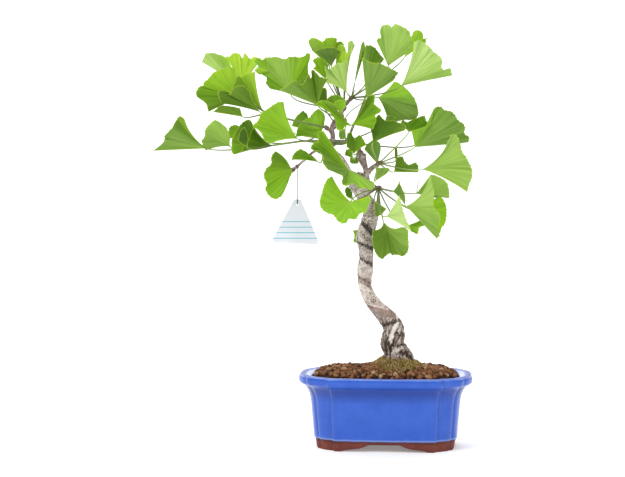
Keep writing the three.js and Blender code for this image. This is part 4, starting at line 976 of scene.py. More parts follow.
# Leaves: [shoot point, base, [tip depth, tilt, bow], flanks, margin, tones], as in the CAD source. The margin
# runs clockwise on the sheet as [across, down, fold], and the tones joined by > follow one another along it,
# painting light and shade across the leaf as well as its own colour.
LEAVES = {
    "left": [
        [2, [207, 148.5, 6], [14, -3, 3], [0, 0.8], [[153.4, 150.5], [159, 146], [163, 140.5], [164.5, 136],
            [170.5, 129], [174, 122, -2], [179, 116.5, -4], [184.5, 121]], "grass>sage>grey>dark>lime"],
        [2, [230, 146.5, 12], [2, 0, 6], [0.3, 0.3], [[205.5, 151], [201, 141], [204, 136], [204.5, 130],
            [209, 124], [215, 119.3], [222, 123.5], [227.5, 129.5], [230.5, 138]], "sage>soft>soft"],
        [2, [271, 145, 0], [-8, 0, 0], [0.3, 0.3], [[254, 127.5, -9], [249.5, 133.5, -12],
            [248, 139.5, -13], [244, 147.5, -11], [239.5, 151.5, -8], [231.5, 152.5, -2], [231, 145, 3],
            [232, 136.5, 7], [236, 130.5, 9], [241, 123.5, 9], [247, 119.5, 7], [252.5, 125, 3]],
            "dark>dark>mid>dark>dark"],
        [1, [262, 141, 24], [30, 0, 0], [0, 0], [[229, 138], [228, 129], [232, 125.5], [238, 125.5],
            [243, 128]], "mid>leaf"],
        [1, [298, 139, -16], [-30, 0, 4], [0.4, 0.4], [[271, 143.5], [264, 140], [261, 134], [252, 126],
            [257, 121.5], [261, 112], [267, 108.5], [273, 104.5], [278, 101.5], [283.5, 101.5]],
            "fresh>bright>fresh"],
        [1, [314, 134, 26], [34, 0, 0], [0.3, 0.3], [[291, 126], [293, 121], [298, 114.5], [303.5, 110],
            [307, 114]], "leaf"],
        [1, [320, 140, 14], [22, 0, 0], [0.3, 0.3], [[295, 137], [297, 128], [303, 120.5], [308.5, 117],
            [313, 112], [319, 109], [325.5, 116], [325, 121], [322, 128]], "leaf>fresh>bright"],
        [0, [319, 162.5, -22], [-30, 0, 0], [0.3, 0.3], [[291, 160], [293.5, 153.5], [300.5, 148.5],
            [305.5, 151], [307.5, 156], [312, 155], [314, 159.5]], "leaf>mid"],
    ],
    "left_high": [
        [2, [238, 85, 42], [56, 0, 0], [0.2, 0.2], [[201, 61.5], [205, 54.5], [213, 53.2], [221, 54],
            [228, 58]], "milky>soft>lime"],
        [2, [242, 88, 28], [34, 0, 0], [0.2, 0.2], [[226, 56], [229.5, 55.5], [233, 53], [240, 53.8],
            [242, 57], [245, 53], [250, 58], [254, 56], [262, 59]], "sun"],
        [2, [241, 99, 14], [10, 0, 4], [0.2, 0.2], [[208.5, 112], [205, 103.5], [195.5, 95.5], [197, 89],
            [200, 86], [202.5, 87], [203, 83], [208, 78], [213, 72], [220, 69.5], [231, 66.5], [238, 70]],
            "dark>bright>lime"],
        [2, [262.5, 110, 4], [-2, 0, 0], [0.5, 0.5], [[229.5, 92], [233.5, 84], [237, 75.5], [241, 76.5],
            [246, 73], [255, 71.5]], "grass>mid>lime"],
        [2, [260.5, 112.3, 0], [-18, 0, 0], [0.4, 0.4], [[222, 103.5, -2], [218, 98, -5], [218, 91, -3],
            [225, 90.5], [229, 93.5, 2], [233, 88], [240, 85.3], [245, 85.5], [248.5, 91]],
            "deep>grass>grass"],
        [2, [243, 117, 6], [4, 0, 0], [0.1, 0.1], [[213, 112], [216, 108.5], [220, 105.5], [231, 106],
            [240, 108]], "grass"],
    ],
    "top_left": [
        [0, [291, 95, 14], [26, 0, 0], [0.2, 0.2], [[279, 90], [269, 88.5], [265.5, 83], [267, 77],
            [257, 71], [262, 60.5], [268, 57.5], [280, 56.7], [285, 58.5], [291, 56.5], [299, 56.2],
            [305, 55], [309.3, 53], [309, 66], [308.5, 74]], "mid>mid>soft>bright>bright"],
        [0, [326, 80, 6], [2, 0, 0], [0.2, 0.2], [[313, 68.5], [315.5, 64], [312.5, 60], [317.5, 56.7],
            [323, 59], [328.5, 65]], "bright>bright>leaf"],
        [0, [331.5, 67, 22], [-4, 0, 4], [0.3, 0.3], [[314, 52], [321, 47.5], [329, 47.3], [337, 49],
            [341, 51]], "grey>grey>grass"],
        [0, [327, 64, 40], [26, 0, 0], [0, 0], [[312, 50.5], [307.5, 41], [311, 37.8], [317, 38.5],
            [323, 40.5], [326, 38], [331, 37], [337, 37.5], [337.5, 42], [341, 41], [345, 44]],
            "soft>lime>grass"],
        [0, [336, 67, 14], [12, 0, 0], [0, 0], [[336, 58], [339.5, 50.5], [338.5, 45], [343, 44],
            [345.5, 47.5], [346.5, 52], [350.5, 54.5], [348, 60]], "bright>lime>fresh>bright"],
        [0, [347, 66, 22], [34, 0, 0], [0, 0], [[349, 48], [349.5, 41], [352.5, 40], [354, 43], [352, 50]],
            "pale"],
        [0, [328, 109, 20], [14, 0, 0], [0.2, 0.2], [[313.5, 101], [315, 94], [319.5, 88.5], [325, 87.5],
            [326.5, 99]], "dark>deep"],
    ],
    "top": [
        [0, [346.8, 92.5, -12], [-24, 0, 0], [0.3, 0.3], [[325.5, 82.5], [326.5, 77], [325, 65.5],
            [330, 68.5], [333, 66], [338.5, 62.3], [345, 61], [349, 54], [353, 47]], "pale"],
        [0, [354.5, 84, 4], [-4, 4, 0], [0, 0], [[359, 70], [361, 57], [361.2, 41.5], [364.5, 42],
            [365, 49.5], [362.5, 60]], "grass>soft"],
        [0, [366, 82, 26], [38, 0, 0], [0.2, 0.2], [[363, 57], [364, 48.5], [366.5, 44], [371, 45.2],
            [376, 48.8], [381, 54], [384, 58.5], [379.5, 62.5]], "soft>dark>grass"],
        [0, [366, 98, -14], [-26, 0, 0], [0, 0], [[362.3, 57.5], [368, 60.7], [374, 62.4], [379, 62],
            [385, 65.2], [393, 68.8], [399, 72.3], [395.5, 75.5], [393.6, 80.8]], "sage>grey"],
        [0, [388.2, 66, 10], [2, 0, 3], [0, 0], [[376.2, 40.5], [378.5, 37.5], [380.6, 37], [380.5, 28],
            [383, 24.6], [389, 24.2], [391.8, 27], [395, 23.4], [402.5, 26], [408.8, 30], [411.4, 36],
            [413.7, 41.5], [411, 49.8]], "soft>pale>soft"],
        [0, [404, 58, 34], [46, 0, 0], [0, 0], [[413, 39], [414, 31.8], [418, 28.9], [422, 31.8], [424, 39],
            [427.5, 36.5], [426, 42]], "lime>bright"],
        [0, [401, 86, -18], [-32, 0, 0], [0.5, 0], [[414, 42], [418.5, 39.3], [422.3, 40.8], [427, 44.2],
            [431, 47], [434, 51.5], [439, 55], [443.2, 59.5], [442, 67.5, -2], [450.7, 68.3, -9],
            [452.6, 73.8, -3]], "milky>milky>soft"],
        [0, [378, 97.5, 4], [16, 0, 0], [0.2, 0.2], [[394, 81.5], [401, 84.3], [408, 88.8], [413.3, 96],
            [417, 104], [419, 109], [418.2, 116.5], [412, 119.8], [400, 119.5], [386.5, 115]],
            "fresh>fresh>grey>sage>grass"],
    ],
    "front": [
        [0, [318, 105.5, -18], [-32, 0, 0], [0, 0.4], [[279, 90], [288, 84], [294, 80.5], [298, 83.5],
            [303, 82.5], [306.5, 77.5], [309, 73.3], [310.8, 77.5], [312.5, 69.5], [318, 74], [324, 77.5],
            [328.3, 79]], "sage>grass>dark>grass"],
        [0, [351.5, 125, -32], [-48, 0, 0], [0.3, 0.3], [[366, 99], [371, 95.5], [375.7, 95.8],
            [375.5, 104], [381, 110.2], [376.7, 114], [377, 119.5], [374, 125.5], [373, 130],
            [368.5, 128.3]], "deep>bright>mid"],
        [0, [350, 125, -30], [-42, 0, 0], [0.5, 0.5], [[343, 131], [336.5, 130], [335.5, 121], [329, 111.5],
            [322, 107], [316.5, 102.8], [323, 100], [330, 101.5], [335, 107]], "bright>mid>bright>grey"],
        [0, [342, 110.5, -6], [-11, 0, 0], [0, 0], [[326, 100], [330, 95.5], [337, 94.5], [343, 97],
            [346.5, 102]], "grass>fresh"],
    ],
    "middle": [
        [0, [354, 154, -18], [-24, 0, 0], [0.3, 0.3], [[346.5, 147], [347.5, 133.5], [350.7, 131],
            [354, 137], [355.5, 139], [358.5, 134.2], [362.3, 137], [366.5, 145]], "dark>leaf"],
    ],
    "right": [
        [0, [422.5, 169.5, -16], [-28, 0, 0], [1, 0.2], [[447, 141.5], [450, 136], [454, 134], [459, 137.3],
            [461, 144], [463, 152.5], [467, 157], [471, 164.5], [472.5, 171], [472, 180], [469.5, 186],
            [467, 192]], "pale>soft>soft"],
        [0, [415, 147, 6], [-2, 0, 0], [0, 0], [[411.5, 131], [420, 128], [429.5, 123.8], [432.3, 116.5],
            [437.3, 106.5], [442, 106.5], [445, 109.5], [452, 111.2], [456.3, 115.5], [459, 120],
            [464.3, 124], [466, 128], [465.2, 133.5], [469.5, 137], [468.7, 142.5], [462, 143.2]],
            "fresh>sage>grey"],
        [0, [372.5, 143.5, -16], [-26, 0, 0], [0.3, 0.3], [[370.5, 129.5], [374, 121], [379, 114.5],
            [384.5, 119.5], [394, 120], [398.2, 122], [406.5, 126.5], [405, 131]], "night>deep>grass"],
        [0, [409, 132, 12], [6, 0, 0], [0.1, 0.1], [[400, 125], [402, 120], [407, 121.7], [412, 119],
            [418, 117.5], [425, 115.5], [427, 120.5], [429.5, 125], [424, 129]], "grass>leaf>leaf"],
        [0, [394, 172, -6], [-8, 0, 0], [0, 0], [[396.5, 157.5], [402.3, 155.8], [406, 162], [412.3, 165.5],
            [416, 162], [419, 166.7], [418, 172.5]], "dark>grass>grey"],
        [0, [375.5, 181, -14], [-20, 0, 0], [0.1, 0.1], [[375.5, 166.8], [382, 167.3], [389, 168],
            [390, 170], [386.5, 174]], "sage"],
        [0, [377.5, 164, 10], [22, 0, 0], [0, 0], [[364.5, 149.5], [367, 144], [372.5, 139.7], [379, 142],
            [380, 151]], "grey"],
    ],
    "low_right": [
        [0, [349, 170.5, -34], [-60, 0, 12], [0, 0], [[374, 182], [374, 188], [370.5, 191], [366, 187],
            [359.5, 189], [353, 184.5], [343.5, 185], [342, 177], [331, 172], [324, 164], [322, 157],
            [317, 151], [312, 148], [312, 143], [318, 139.5], [318.5, 131], [323.5, 131]],
            "soft>fresh>grey>leaf>bright"],
        [0, [406, 206, -38], [-50, 0, 0], [0.5, 0], [[430.5, 175.5], [432.5, 185], [435, 192.5],
            [434.2, 206], [436.5, 211], [441, 214.5], [440, 223], [438.2, 231], [440.5, 235.6],
            [437.2, 239.2]], "pale>soft>sage"],
        [0, [416.5, 193.5, 14], [20, 0, 0], [0, 0], [[431, 174.5], [439, 176.2], [446.5, 181], [449, 188],
            [449.5, 198.5], [443, 196], [437, 198]], "soft>soft>sage"],
        [0, [413, 210, -4], [-6, 0, 0], [0, 0], [[436, 199.5], [441, 196.5], [446, 203.5], [447.3, 213],
            [445.5, 224], [442, 228.5], [440, 234]], "bright"],
        [0, [392.5, 191.5, -10], [-18, 0, 0], [0.3, 0.3], [[399.5, 181], [401, 184.5], [404.2, 192],
            [405.6, 199], [405.8, 205.5]], "grey"],
        [0, [386.5, 216.5, -50], [-60, 0, 0], [0.1, 0.1], [[399.3, 195.5], [401.6, 203], [404.3, 211],
            [407.8, 222.5], [411.5, 231.5]], "mint"],
        [0, [407, 226, -40], [-44, 0, 0], [0, 0], [[416, 222.5], [425, 218.7], [427.3, 221.3], [426.3, 225],
            [419.8, 228.3], [418, 234.2], [411.5, 232]], "mid>mid>fresh"],
        [0, [374.5, 200.5, -14], [-16, 0, 0], [0, 0], [[386.5, 208.7], [383.5, 213.5], [380, 216.3],
            [376.6, 217.2], [374.8, 210]], "sage>grass>grass"],
        [0, [383.3, 221, -16], [-20, 0, 0], [1, 1], [[400.5, 227], [408, 230], [409, 238], [409, 249],
            [406, 255], [402, 257], [397, 255.3], [393, 255.7], [389.5, 254.3], [382, 259.6], [376.5, 255],
            [373, 248], [372, 236], [373, 230]], "soft>grass>grass"],
        [0, [350.5, 201.5, -44], [-50, 0, 0], [0.3, 0.3], [[369.5, 195.5], [371, 200], [368, 207],
            [366.5, 213], [361, 213.5], [355, 220], [350, 219.5], [345, 224], [338, 222], [333, 216],
            [326, 213], [320, 207], [319, 200], [321, 194], [324, 184], [327.5, 178], [332, 176]],
            "fresh>fresh>bright"],
        [0, [366, 232, 26], [30, 0, 0], [0, 0], [[358, 243.5], [353.5, 242], [354, 236], [352.5, 230.8],
            [357, 230]], "mid"],
    ],
    "twig": [
        [0, [291.5, 169.3, -12], [-20, 0, 0], [-0.3, -0.4], [[291, 176], [286.5, 182], [283, 192],
            [278, 199.5], [272, 199], [265, 190], [266, 184.5], [263, 176], [265.5, 169], [270.2, 164],
            [270.6, 157], [275, 151]], "bright>bright>dark"],
    ],
    "back": [
        [0, [318, 100, 40], [60, 0, 4], [0.4, 0.4], [[281, 80], [284, 70], [292, 65], [300, 63], [306, 67]],
            "grass"],
        [0, [366, 94, 48], [66, 0, 4], [0.4, 0.4], [[364, 80], [369, 69], [382, 68], [389, 77]], "mid"],
        [0, [382, 126, 44], [64, 0, 4], [0.4, 0.4], [[388, 108], [398, 104], [408, 106], [412, 113],
            [408, 120]], "grass"],
        [0, [296, 134, 46], [60, 0, 4], [0.4, 0.4], [[272, 136], [263, 127], [265, 115], [274, 109]],
            "mid"],
        [0, [417, 144, 36], [48, 0, 4], [0.4, 0.4], [[428, 126], [437, 120], [446, 122], [452, 130],
            [452, 139]], "grass"],
        [0, [354, 123, 56], [78, 0, 4], [0.4, 0.4], [[360, 108], [364, 101], [370, 99], [374, 106],
            [375, 114]], "dark"],
    ],
}
# Small young leaves between the large ones, in the same rows, only on the visual model. The first on the left
# is a dark leaf that paints the shade inside a curled leaf's hollow.
YOUNG = {
    "left": [
        # A dark leaf standing in for the painted shade inside the curl of a large leaf.
        [2, [247, 146.5, -20], [-24, 0, 0], [-0.4, -0.4], [[238, 140], [239.5, 132], [243.5, 127], [247, 131],
            [248, 139]], "night>night"],
    ],
    "top_left": [
        [0, [269, 71, 22], [24, 0, 2], [0, 0], [[259.5, 75], [254.5, 70.5], [257.5, 66], [253.5, 61],
            [257, 58], [262, 59.5], [266, 56.5]], "lime>fresh>mid"],
        [0, [327, 58, 30], [32, 0, 3], [0.1, 0.1], [[311, 48], [313.5, 43.5], [318.5, 45.5], [324, 42.8],
            [330, 44.5], [335, 42.5], [340, 46.5]], "lime>bright>lime"],
        [0, [344.5, 68, 6], [4, 0, 0], [0, 0], [[340, 57.5], [342.5, 52], [345.5, 50.5], [348.5, 54],
            [350, 60]], "sun>lime"],
    ],
    "front": [
        [0, [341, 112, -16], [-22, 0, 0], [0.1, 0.1], [[331, 107.5], [334, 102], [339, 99.5], [345, 101.5],
            [346.5, 106]], "bright>fresh"],
        [0, [345.5, 128, -10], [-12, 0, 0], [0, 0], [[346, 138.5], [341, 140], [338.5, 136.5],
            [339, 131.5]], "grey>sage"],
    ],
    "middle": [
        [0, [353, 158.5, -14], [-20, 0, 0], [0.2, 0.2], [[345, 155.5], [345.5, 150], [349, 148.4],
            [353, 151]], "deep>bright"],
        [0, [360, 157, 8], [10, 0, 0], [0, 0], [[358, 163.5], [353, 164.2], [349.5, 162.5], [350, 157.5]],
            "grass>grey"],
    ],
    "right": [
        [0, [395.8, 160, -4], [-6, 0, 0], [-0.6, -0.6], [[394.5, 153], [395.4, 147.5], [397.3, 148.2],
            [397.8, 154]], "dark>grass"],
    ],
    "low_right": [
        [0, [352.5, 199, -10], [-12, 0, 0], [-0.5, -0.5], [[346, 196], [344.5, 190], [346.5, 186.5],
            [350, 188], [352, 192]], "deep>dark"],
    ],
}
# Thin green runners and thorn-like stalks: [spray, start and end radius, points as [across, down, depth]].
STALKS = [
    ["back", 1.0, 0.9, [[347, 142, 24], [339, 142.6, 10], [326, 140.6, -1], [305, 141, -4]]],
    ["back", 0.8, 0.7, [[347, 143, 24], [340, 144.6, 11], [327, 143, 1], [313, 140.8, -3]]],
    ["low_right", 0.35, 0.12, [[399.6, 182.5, -18], [400.6, 180, -18], [402, 176.5, -18]]],
    ["low_right", 0.55, 0.15, [[416.8, 193.5, 14], [417.6, 186, 14], [420.6, 177.8, 14]]],
    ["top", 0.55, 0.4, [[350, 99, 4], [352.5, 96, 0], [355, 90, -3]]],
    ["front", 0.6, 0.5, [[343, 121.5, -12], [350, 112, -10], [360, 104.5, -8], [365.5, 100, -8]]],
]
# A blade's thickness, its rows and its parts between margin points, how its flanks curve, its waves, pleats
# and notches, half its thickness at the heel, and a distance from the rim where the skin has no pale edge.
BLADE = {
    "thick": 0.42, "rings": 16, "parts": 7, "hollow": 0.35, "wave": 0.035, "ripple": 2.1,
    "pleat": 0.012, "pleats": 3.1, "scallop": 0.55, "heel": 0.2, "off": 99,
}
# A leaf stalk, with how far inside the blade its last two rings lie and their shares of its radius.
PETIOLE = {"radius": 0.62, "sides": 8, "steps": 14, "bend": 0.2, "inside": (1.5, 3.5), "tip": (0.5, 0.15)}
# The bud on a spray's spur, and its [share of the length, radius] after the spur's own radius.
BUD = {"start": -0.4, "length": 6.4, "rings": 12, "sides": 14, "shoot": 2.4}
BUD_SHAPE = [[0.35, 2.3], [0.75, 1.85], [1, 0.7]]
SHOOT = {"radius": 1.15, "taper": 0.012, "steps": 8, "sides": 10}
STALK = {"steps": 8, "sides": 8}


def shade_of(tones, part):
    """The leaf's colour along its margin, its own colour with painted light and shade, from evenly spaced
    tones joined by >.
    """
    stops = np.array([rgb(*TONES[name]) for name in tones.split(">")])
    at = np.linspace(0, 1, len(stops))
    return np.column_stack([np.interp(part, at, channel) for channel in stops.T])


def blade_faces(rows, columns):
    """Faces of a blade's upper side, underside and border, closed at its two heel points."""
    grid = rows * columns

    def at(row, column):
        return row * columns + column

    faces = []
    for j in range(columns - 1):
        faces.append((2 * grid, at(0, j), at(0, j + 1)))
        faces.append((2 * grid + 1, grid + at(0, j + 1), grid + at(0, j)))
        for i in range(rows - 1):
            cell = (at(i, j), at(i + 1, j), at(i + 1, j + 1), at(i, j + 1))
            faces.append(cell)
            faces.append([grid + k for k in (cell[0], cell[3], cell[2], cell[1])])
    border = [at(i, 0) for i in range(rows)] + [at(rows - 1, j) for j in range(1, columns)]
    border += [at(i, columns - 1) for i in range(rows - 2, -1, -1)]
    for a, b in zip(border, border[1:]):
        faces.append((a, grid + a, grid + b, b))
    faces.append((2 * grid, 2 * grid + 1, grid + border[0], border[0]))
    faces.append((2 * grid + 1, 2 * grid, border[-1], grid + border[-1]))
    return faces


def add_blade(piece, leaf, seed):
    """Adds a leaf's blade, and returns its base and the direction it points in."""
    _, base_at, (tip_depth, tilt, bow), flanks, margin_at, tones = leaf
    base = seen(base_at)
    cells = len(margin_at) - 1
    margin = []
    for i, (across, down, *fold) in enumerate(margin_at):
        part = 2 * i / cells - 1
        margin.append(seen([across, down, tip_depth + tilt * part + bow * part**2 + sum(fold)]))
    edge = smooth(margin, BLADE["parts"])
    step = np.arange(len(edge)) / BLADE["parts"]
    flank = np.interp(step, [0, cells], flanks)
    axis = unit(edge[(len(edge) - 1) // 2] - base)
    reach = edge - base
    length = np.linalg.norm(reach, axis=1)
    travel = np.concatenate([[0], np.cumsum(np.linalg.norm(np.diff(edge, axis=0), axis=1))])
    from_flank = np.minimum(travel, travel[-1] - travel)
    ahead = reach @ axis
    aside = reach - ahead[:, None] * axis
    normal = np.cross(np.gradient(edge, axis=0), reach)
    normal /= np.maximum(np.linalg.norm(normal, axis=1, keepdims=True), 1e-9)

    # Rows of the blade from its base to its margin: waves and pleats lift it, and notches trim the margin.
    share = (np.linspace(0, 1, BLADE["rings"] + 1)[1:] ** 0.85)[:, None]
    wave = BLADE["wave"] * share**2 * np.sin(BLADE["ripple"] * step + 6 * draw(seed))
    ripple = BLADE["ripple"] * BLADE["pleats"]
    wave = (wave + BLADE["pleat"] * share**1.5 * np.sin(ripple * step + 6 * draw(seed + 0.2))) * length
    notches = np.sin(travel * 1.9 + 9 * draw(seed + 0.6)) + 0.6 * np.sin(travel * 1.13 + 7 * draw(seed + 0.8))
    notches = (notches - 1.6) / 1.6 * (1 - np.exp(-from_flank / 3))
    trim = 1 + BLADE["scallop"] * notches * share**10 / length
    run = ahead * share * trim + flank * np.linalg.norm(aside, axis=1) * share * (1 - share)
    spread = share ** (1 + BLADE["hollow"] * flank) * trim
    sheet = base + run[..., None] * axis + spread[..., None] * aside + wave[..., None] * normal
    out = np.cross(np.gradient(sheet, axis=1), np.gradient(sheet, axis=0))
    out /= np.maximum(np.linalg.norm(out, axis=2, keepdims=True), 1e-9)
    half = (BLADE["thick"] / 2 * (1 - 0.6 * share**6))[..., None]
    heel = np.mean(out[0], axis=0) * BLADE["heel"]
    top, under = (sheet - out * half).reshape(-1, 3), (sheet + out * half).reshape(-1, 3)
    points = np.concatenate([top, under, [base - heel, base + heel]])

    # Values for the skin, at the points of both sides and then at the heel.
    rows, columns = sheet.shape[:2]
    values = {"chance": draw(seed + 0.17)}
    for name, value, at_heel in (
        ("share", share, 0),
        ("rim", (1 - share) * length, BLADE["off"]),
        ("flank", share * from_flank, BLADE["off"]),
        ("vein", travel, 0),
    ):
        value = np.broadcast_to(value, (rows, columns)).ravel()
        values[name] = np.concatenate([value, value, [at_heel, at_heel]])
    values["under"] = np.repeat([0, 1, 0.5], [rows * columns, rows * columns, 2])
    colours = np.tile(shade_of(tones, step / cells), (rows, 1))
    values["tint"] = np.concatenate([colours, colours, colours[:1], colours[:1]])
    piece.add(points, blade_faces(rows, columns), 0, **values)
    return base, axis


def add_petiole(piece, start, base, axis, fresh):
    """Adds the stalk from the shoot to a blade's base, with its end inside the blade."""
    bend = base - axis * PETIOLE["bend"] * np.linalg.norm(base - start)
    t = np.linspace(0, 1, PETIOLE["steps"] + 1)[:, None]
    path = (1 - t) ** 2 * start + 2 * t * (1 - t) * bend + t**2 * base
    path = np.concatenate([path, [base + axis * far for far in PETIOLE["inside"]]])
    last = len(path) - 1
    size = PETIOLE["radius"] * np.append(1.25 - 0.35 * np.arange(last - 1) / last, PETIOLE["tip"])
    points, faces, ring = tube(path, lambda k, _: size[k], PETIOLE["sides"])
    piece.add(points, faces, 1, share=ring / last, fresh=fresh)


def add_bud(piece, end, outward, radius):
    rings = np.arange(BUD["rings"] + 1) / BUD["rings"]
    width = np.interp(rings, [0, *(at for at, _ in BUD_SHAPE)], [radius, *(size for _, size in BUD_SHAPE)])
    path = [end + outward * (BUD["start"] + BUD["length"] * at) for at in rings]

    def scales(k, angles):
        return width[k] * (1 + 0.13 * (k % 2) + 0.07 * np.sin(3 * angles + k))

    piece.add(*tube(path, scales, BUD["sides"])[:2], 2)


def make_spray(name, skins):
    limb, slot, pale, shoot = SPRAYS[name]
    path, radii = limb_path(LIMBS[limb], 1)
    end = path[-1]
    outward = unit(end - path[-2])
    piece = Piece()
    add_bud(piece, end, outward, radii[-1])
    nodes = [end + outward * BUD["shoot"]] + [seen(p) for p in shoot]
    if shoot:
        line = smooth(nodes, SHOOT["steps"])
        points, faces, ring = tube(line, lambda k, _: SHOOT["radius"] - SHOOT["taper"] * k, SHOOT["sides"])
        piece.add(points, faces, 1, share=0.35 + 0.02 * ring, fresh=pale)
    for i, leaf in enumerate(LEAVES[name] + YOUNG.get(name, [])):
        base, axis = add_blade(piece, leaf, len(name) * 10 + i)
        fresh = pale + 0.35 * (draw(len(name) * 7 + i * 1.3) - 0.5)
        add_petiole(piece, nodes[leaf[0]], base, axis, fresh)
    for spray, first, last, route in STALKS:
        if spray == name:
            line = smooth([seen(p) for p in route], STALK["steps"])
            size = np.linspace(first, last, len(line))
            piece.add(*tube(line, lambda k, _: size[k], STALK["sides"])[:2], 1, share=0.5, fresh=pale)
    piece.make("foliage_" + name, skins, slot, ["spray_" + name])


def leaf_skin():
    """Veins fan out from the leaf's base, as their places are measured along its margin. Broad bands of
    painted shade and painted highlight follow the pleats, and the lime rim is partly a painted highlight.
    """
    net = Net("leaf")
    share, vein = net.value("share"), net.value("vein")
    chance = net.times(net.value("chance"), 90)
    fine = net.noise(1, 3, 0.6, net.combine(net.times(vein, 1.5), net.times(share, 1.2), chance))
    broad = net.noise(1, 2, 0.5, net.combine(net.times(vein, 0.22), net.times(share, 0.9), chance))
    skin = net.value("tint", "Color")
    for amount, tint in (
        (net.range(fine, 0.45, 0.72, 0, 0.35), (1.25, 1.16, 1.3, 1)),
        (net.range(fine, 0.52, 0.34, 0, 0.38), (0.6, 0.72, 0.5, 1)),
        # Painted shade and painted highlight in broad bands along the pleats.
        (net.range(broad, 0.47, 0.7, 0, 0.42), (0.55, 0.68, 0.45, 1)),
        (net.range(broad, 0.5, 0.3, 0, 0.35), (1.3, 1.16, 1.1, 1)),
        (net.range(net.noise(38), 0.45, 0.68, 0, 0.5), (0.72, 0.86, 0.6, 1)),
    ):
        skin = net.mix(amount, skin, tint, "MULTIPLY")
    rim, flank = net.range(net.value("rim"), 0.8, 0.3), net.range(net.value("flank"), 0.6, 0.25)
    skin = net.coats(skin, [
        (net.times(net.value("under"), 0.1), (150, 186, 98)),
        (net.range(share, 0.35, 0, 0, 0.35), (168, 200, 84)),
        # The lime rim along the margin and flanks: partly the leaf's own pale edge, partly a painted
        # highlight.
        (net.times(net.math("MAXIMUM", rim, flank), 0.7), (206, 230, 70)),
    ])
    net.set(Base_Color=skin, Roughness=0.45, Specular_IOR_Level=0.14)
    normal = net.bump(net.plus(fine, broad), 0.45, 0.45)
    through = net.nodes.new("ShaderNodeBsdfTranslucent")
    net.feed(through.inputs["Color"], net.mix(0.45, skin, rgb(170, 220, 6)))
    net.feed(through.inputs["Normal"], normal)
    blend = net.nodes.new("ShaderNodeMixShader")
    for socket, value in zip(blend.inputs, (0.3, net.shader.outputs[0], through.outputs[0])):
        net.feed(socket, value)
    net.feed(net.nodes["Material Output"].inputs["Surface"], blend.outputs[0])
    return net.material


def stalk_skin():
    net = Net("petiole")
    share = net.plus(net.value("share"), net.swing(net.noise(120, 2), 0.5))
    dark = net.ramp(share, [(0, (80, 76, 50)), (0.4, (84, 100, 42)), (0.9, (122, 152, 58))])
    light = net.ramp(share, [(0, (118, 134, 66)), (0.4, (142, 168, 80)), (0.9, (170, 200, 100))])
    net.set(Base_Color=net.mix(net.value("fresh"), dark, light), Roughness=0.5)
    net.bump(net.noise(900, 2), 0.2, 0.2)
    return net.material


def bud_skin():
    net = Net("bud")
    grain = net.noise(500, 4, 0.6)
    skin = net.ramp(grain, [(0.3, (78, 60, 48)), (0.55, (126, 104, 86)), (0.8, (176, 158, 138))])
    net.set(Base_Color=skin, Roughness=0.85)
    net.bump(net.noise(1100, 3), 0.5, 0.4)
    return net.material


# ---------------------------------------------------------------- label
TAG = {
    "top": [297.4, 199.5], "width": 45.4, "height": 43.5, "apex": 7.5, "corner": 3, "tip": 1.6,
    "thick": 0.8, "bevel": 0.12, "hole": 1.2, "down": 5, "tilt": 3,
}
# The label's ruled lines: their spacing and width, and where their field starts and ends below the hole.
RULES = {"spacing": 5.5, "width": 0.92, "start": 16.4, "end": 34.4}
THREAD = {"radius": 0.4, "depth": -9.6, "twig": [297.4, 166.2, -10], "under": 1.5, "steps": 5, "sides": 10}
# The thread's turns round the twig: their places along it, and their radius, gap to the wood and form.
LOOP = {"places": (-0.5, 0.45), "radius": 0.34, "off": 0.35, "steps": 24, "sides": 8}
GAP = 0.3
tag_top = seen([*TAG["top"], THREAD["depth"]])
tag_hole = tag_top - [0, 0, TAG["down"]]


def arc(x, y, radius, first, last, steps=10):
    """Points of an arc round (x, y), from one direction to another in degrees."""
    angles = np.radians(np.linspace(first, last, steps))
    return [(x + radius * math.cos(a), y + radius * math.sin(a)) for a in angles]


def tag_mesh():
    """The label lying flat: a triangle with rounded corners and a hole, in metres from the hole's middle."""
    half, high, corner, tip = TAG["width"] / 2, TAG["height"], TAG["corner"], TAG["tip"]
    apex = TAG["apex"] / 2 - tip
    slope = math.degrees(math.atan2(high, half - TAG["apex"] / 2))
    outline = arc(corner - half, corner - high, corner, 90 + slope, 270)
    outline += arc(half - corner, corner - high, corner, -90, 90 - slope)
    outline += arc(apex, -tip, tip, 90 - slope, 90, 5) + arc(-apex, -tip, tip, 90, 90 + slope, 5)
    hole = arc(0, -TAG["down"], TAG["hole"], 360, 15, 24)
    curve = bpy.data.curves.new("label_outline", "CURVE")
    curve.dimensions, curve.fill_mode = "2D", "BOTH"
    for ring in (outline, hole):
        line = curve.splines.new("POLY")
        line.points.add(len(ring) - 1)
        for point, (x, z) in zip(line.points, ring):
            point.co = (x * MM, (z + TAG["down"]) * MM, 0, 1)
        line.use_cyclic_u = True
    curve.extrude = (TAG["thick"] / 2 - TAG["bevel"]) * MM
    curve.bevel_depth, curve.bevel_resolution = TAG["bevel"] * MM, 2
    holder = link(curve, "label_outline")
    mesh = applied(holder)
    bpy.data.objects.remove(holder)
    return mesh


def make_tag():
    mesh = tag_mesh()
    across, up, out = read(mesh, "co").T
    c, s = math.cos(math.radians(TAG["tilt"])), math.sin(math.radians(TAG["tilt"]))
    move(mesh, np.column_stack([across * c + up * s, -out, up * c - across * s]) + (tag_hole + SHIFT) * MM)
    mesh.materials.clear()
    mesh.materials.append(label_skin())
    show(mesh, "blank_label", ["tag"])


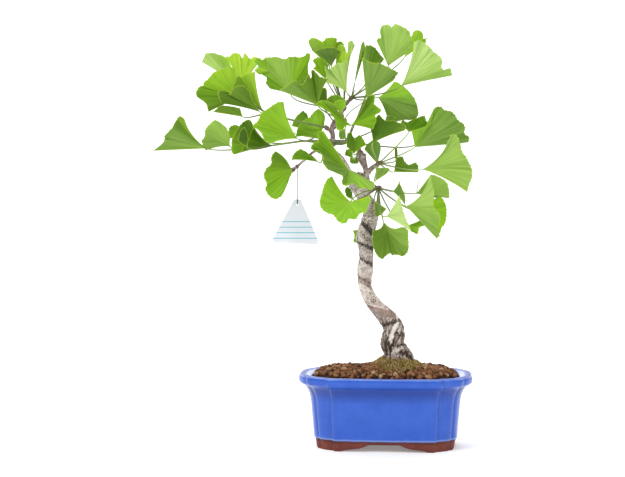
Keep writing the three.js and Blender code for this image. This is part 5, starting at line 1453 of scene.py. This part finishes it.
def label_skin():
    net = Net("label")
    down = net.math("SUBTRACT", float((tag_hole + SHIFT)[2]), net.height())
    paper = net.mix(net.range(net.noise(40, 2), 0.3, 0.7, 0, 0.5), rgb(204, 208, 214), rgb(224, 228, 234))
    line = net.band(net.math("MODULO", down, RULES["spacing"]), 0.12, RULES["width"] - 0.12, 0.12, 0.12)
    area = net.band(down, RULES["start"], RULES["end"], 0.2, 0.2)
    net.set(Base_Color=net.mix(net.times(line, area), paper, rgb(70, 176, 188)), Roughness=0.35)
    return net.material


def make_thread():
    """The thread from the twig's underside to the label's hole, and its turns round the twig."""
    radius = THREAD["radius"]
    top = seen(THREAD["twig"])[2] - THREAD["under"] - 2 * GAP
    x, sheet = tag_top[:2]
    front = sheet - TAG["thick"] / 2 - radius - GAP
    hole = tag_hole[2]
    middle = (top + hole) / 2
    path = smooth([
        (x, front, top), (x, front, middle + 6), (x, front, middle - 6), (x, front, hole + 2.4),
        (x, front + 0.35, hole + 0.7), (x, sheet, hole), (x, sheet + 1.4, hole - 0.2),
    ], THREAD["steps"])
    thread = Piece().add(*tube(path, lambda k, _: radius, THREAD["sides"])[:2])
    net = Net("thread")
    net.set(Base_Color=net.mix(net.noise(1400, 2), rgb(30, 28, 28), rgb(78, 74, 72)), Roughness=0.8)
    cord = thread.make("label_thread", [net.material], "thread", ["tag_thread"])
    twig, radii = limb_path(LIMBS["twig"], 6)
    at = int(np.argmin(abs(twig[:, 0] - x)))
    along = unit(twig[at + 1] - twig[at - 1])
    up = unit(np.array([0, 0, 1.0]) - along * along[2])
    side = np.cross(along, up)
    around = [side * math.cos(a) + up * math.sin(a) for a in circle(LOOP["steps"])]
    loop = Piece()
    for place in LOOP["places"]:
        ring = [twig[at] + along * place + way * (radii[at] + LOOP["off"]) for way in around]
        loop.add(*tube([*ring, *ring[:2]], lambda k, _: LOOP["radius"], LOOP["sides"])[:2])
    loop.make("thread_loop", [net.material], "thread")


def dress_screens():
    net = Net("drain_mesh")
    net.set(Base_Color=net.mix(net.noise(500, 2), rgb(22, 22, 24), rgb(44, 44, 46)), Roughness=0.6)
    for name in ("drain_screen_left", "drain_screen_right"):
        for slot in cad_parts[name].material_slots:
            slot.material = net.material


make_camera()
make_lights()
make_sweep()
make_tag()
make_thread()
make_pot()
make_soil()
make_moss()
make_trunk()
skins = [leaf_skin(), stalk_skin(), bud_skin()]
for spray in SPRAYS:
    make_spray(spray, skins)
dress_screens()
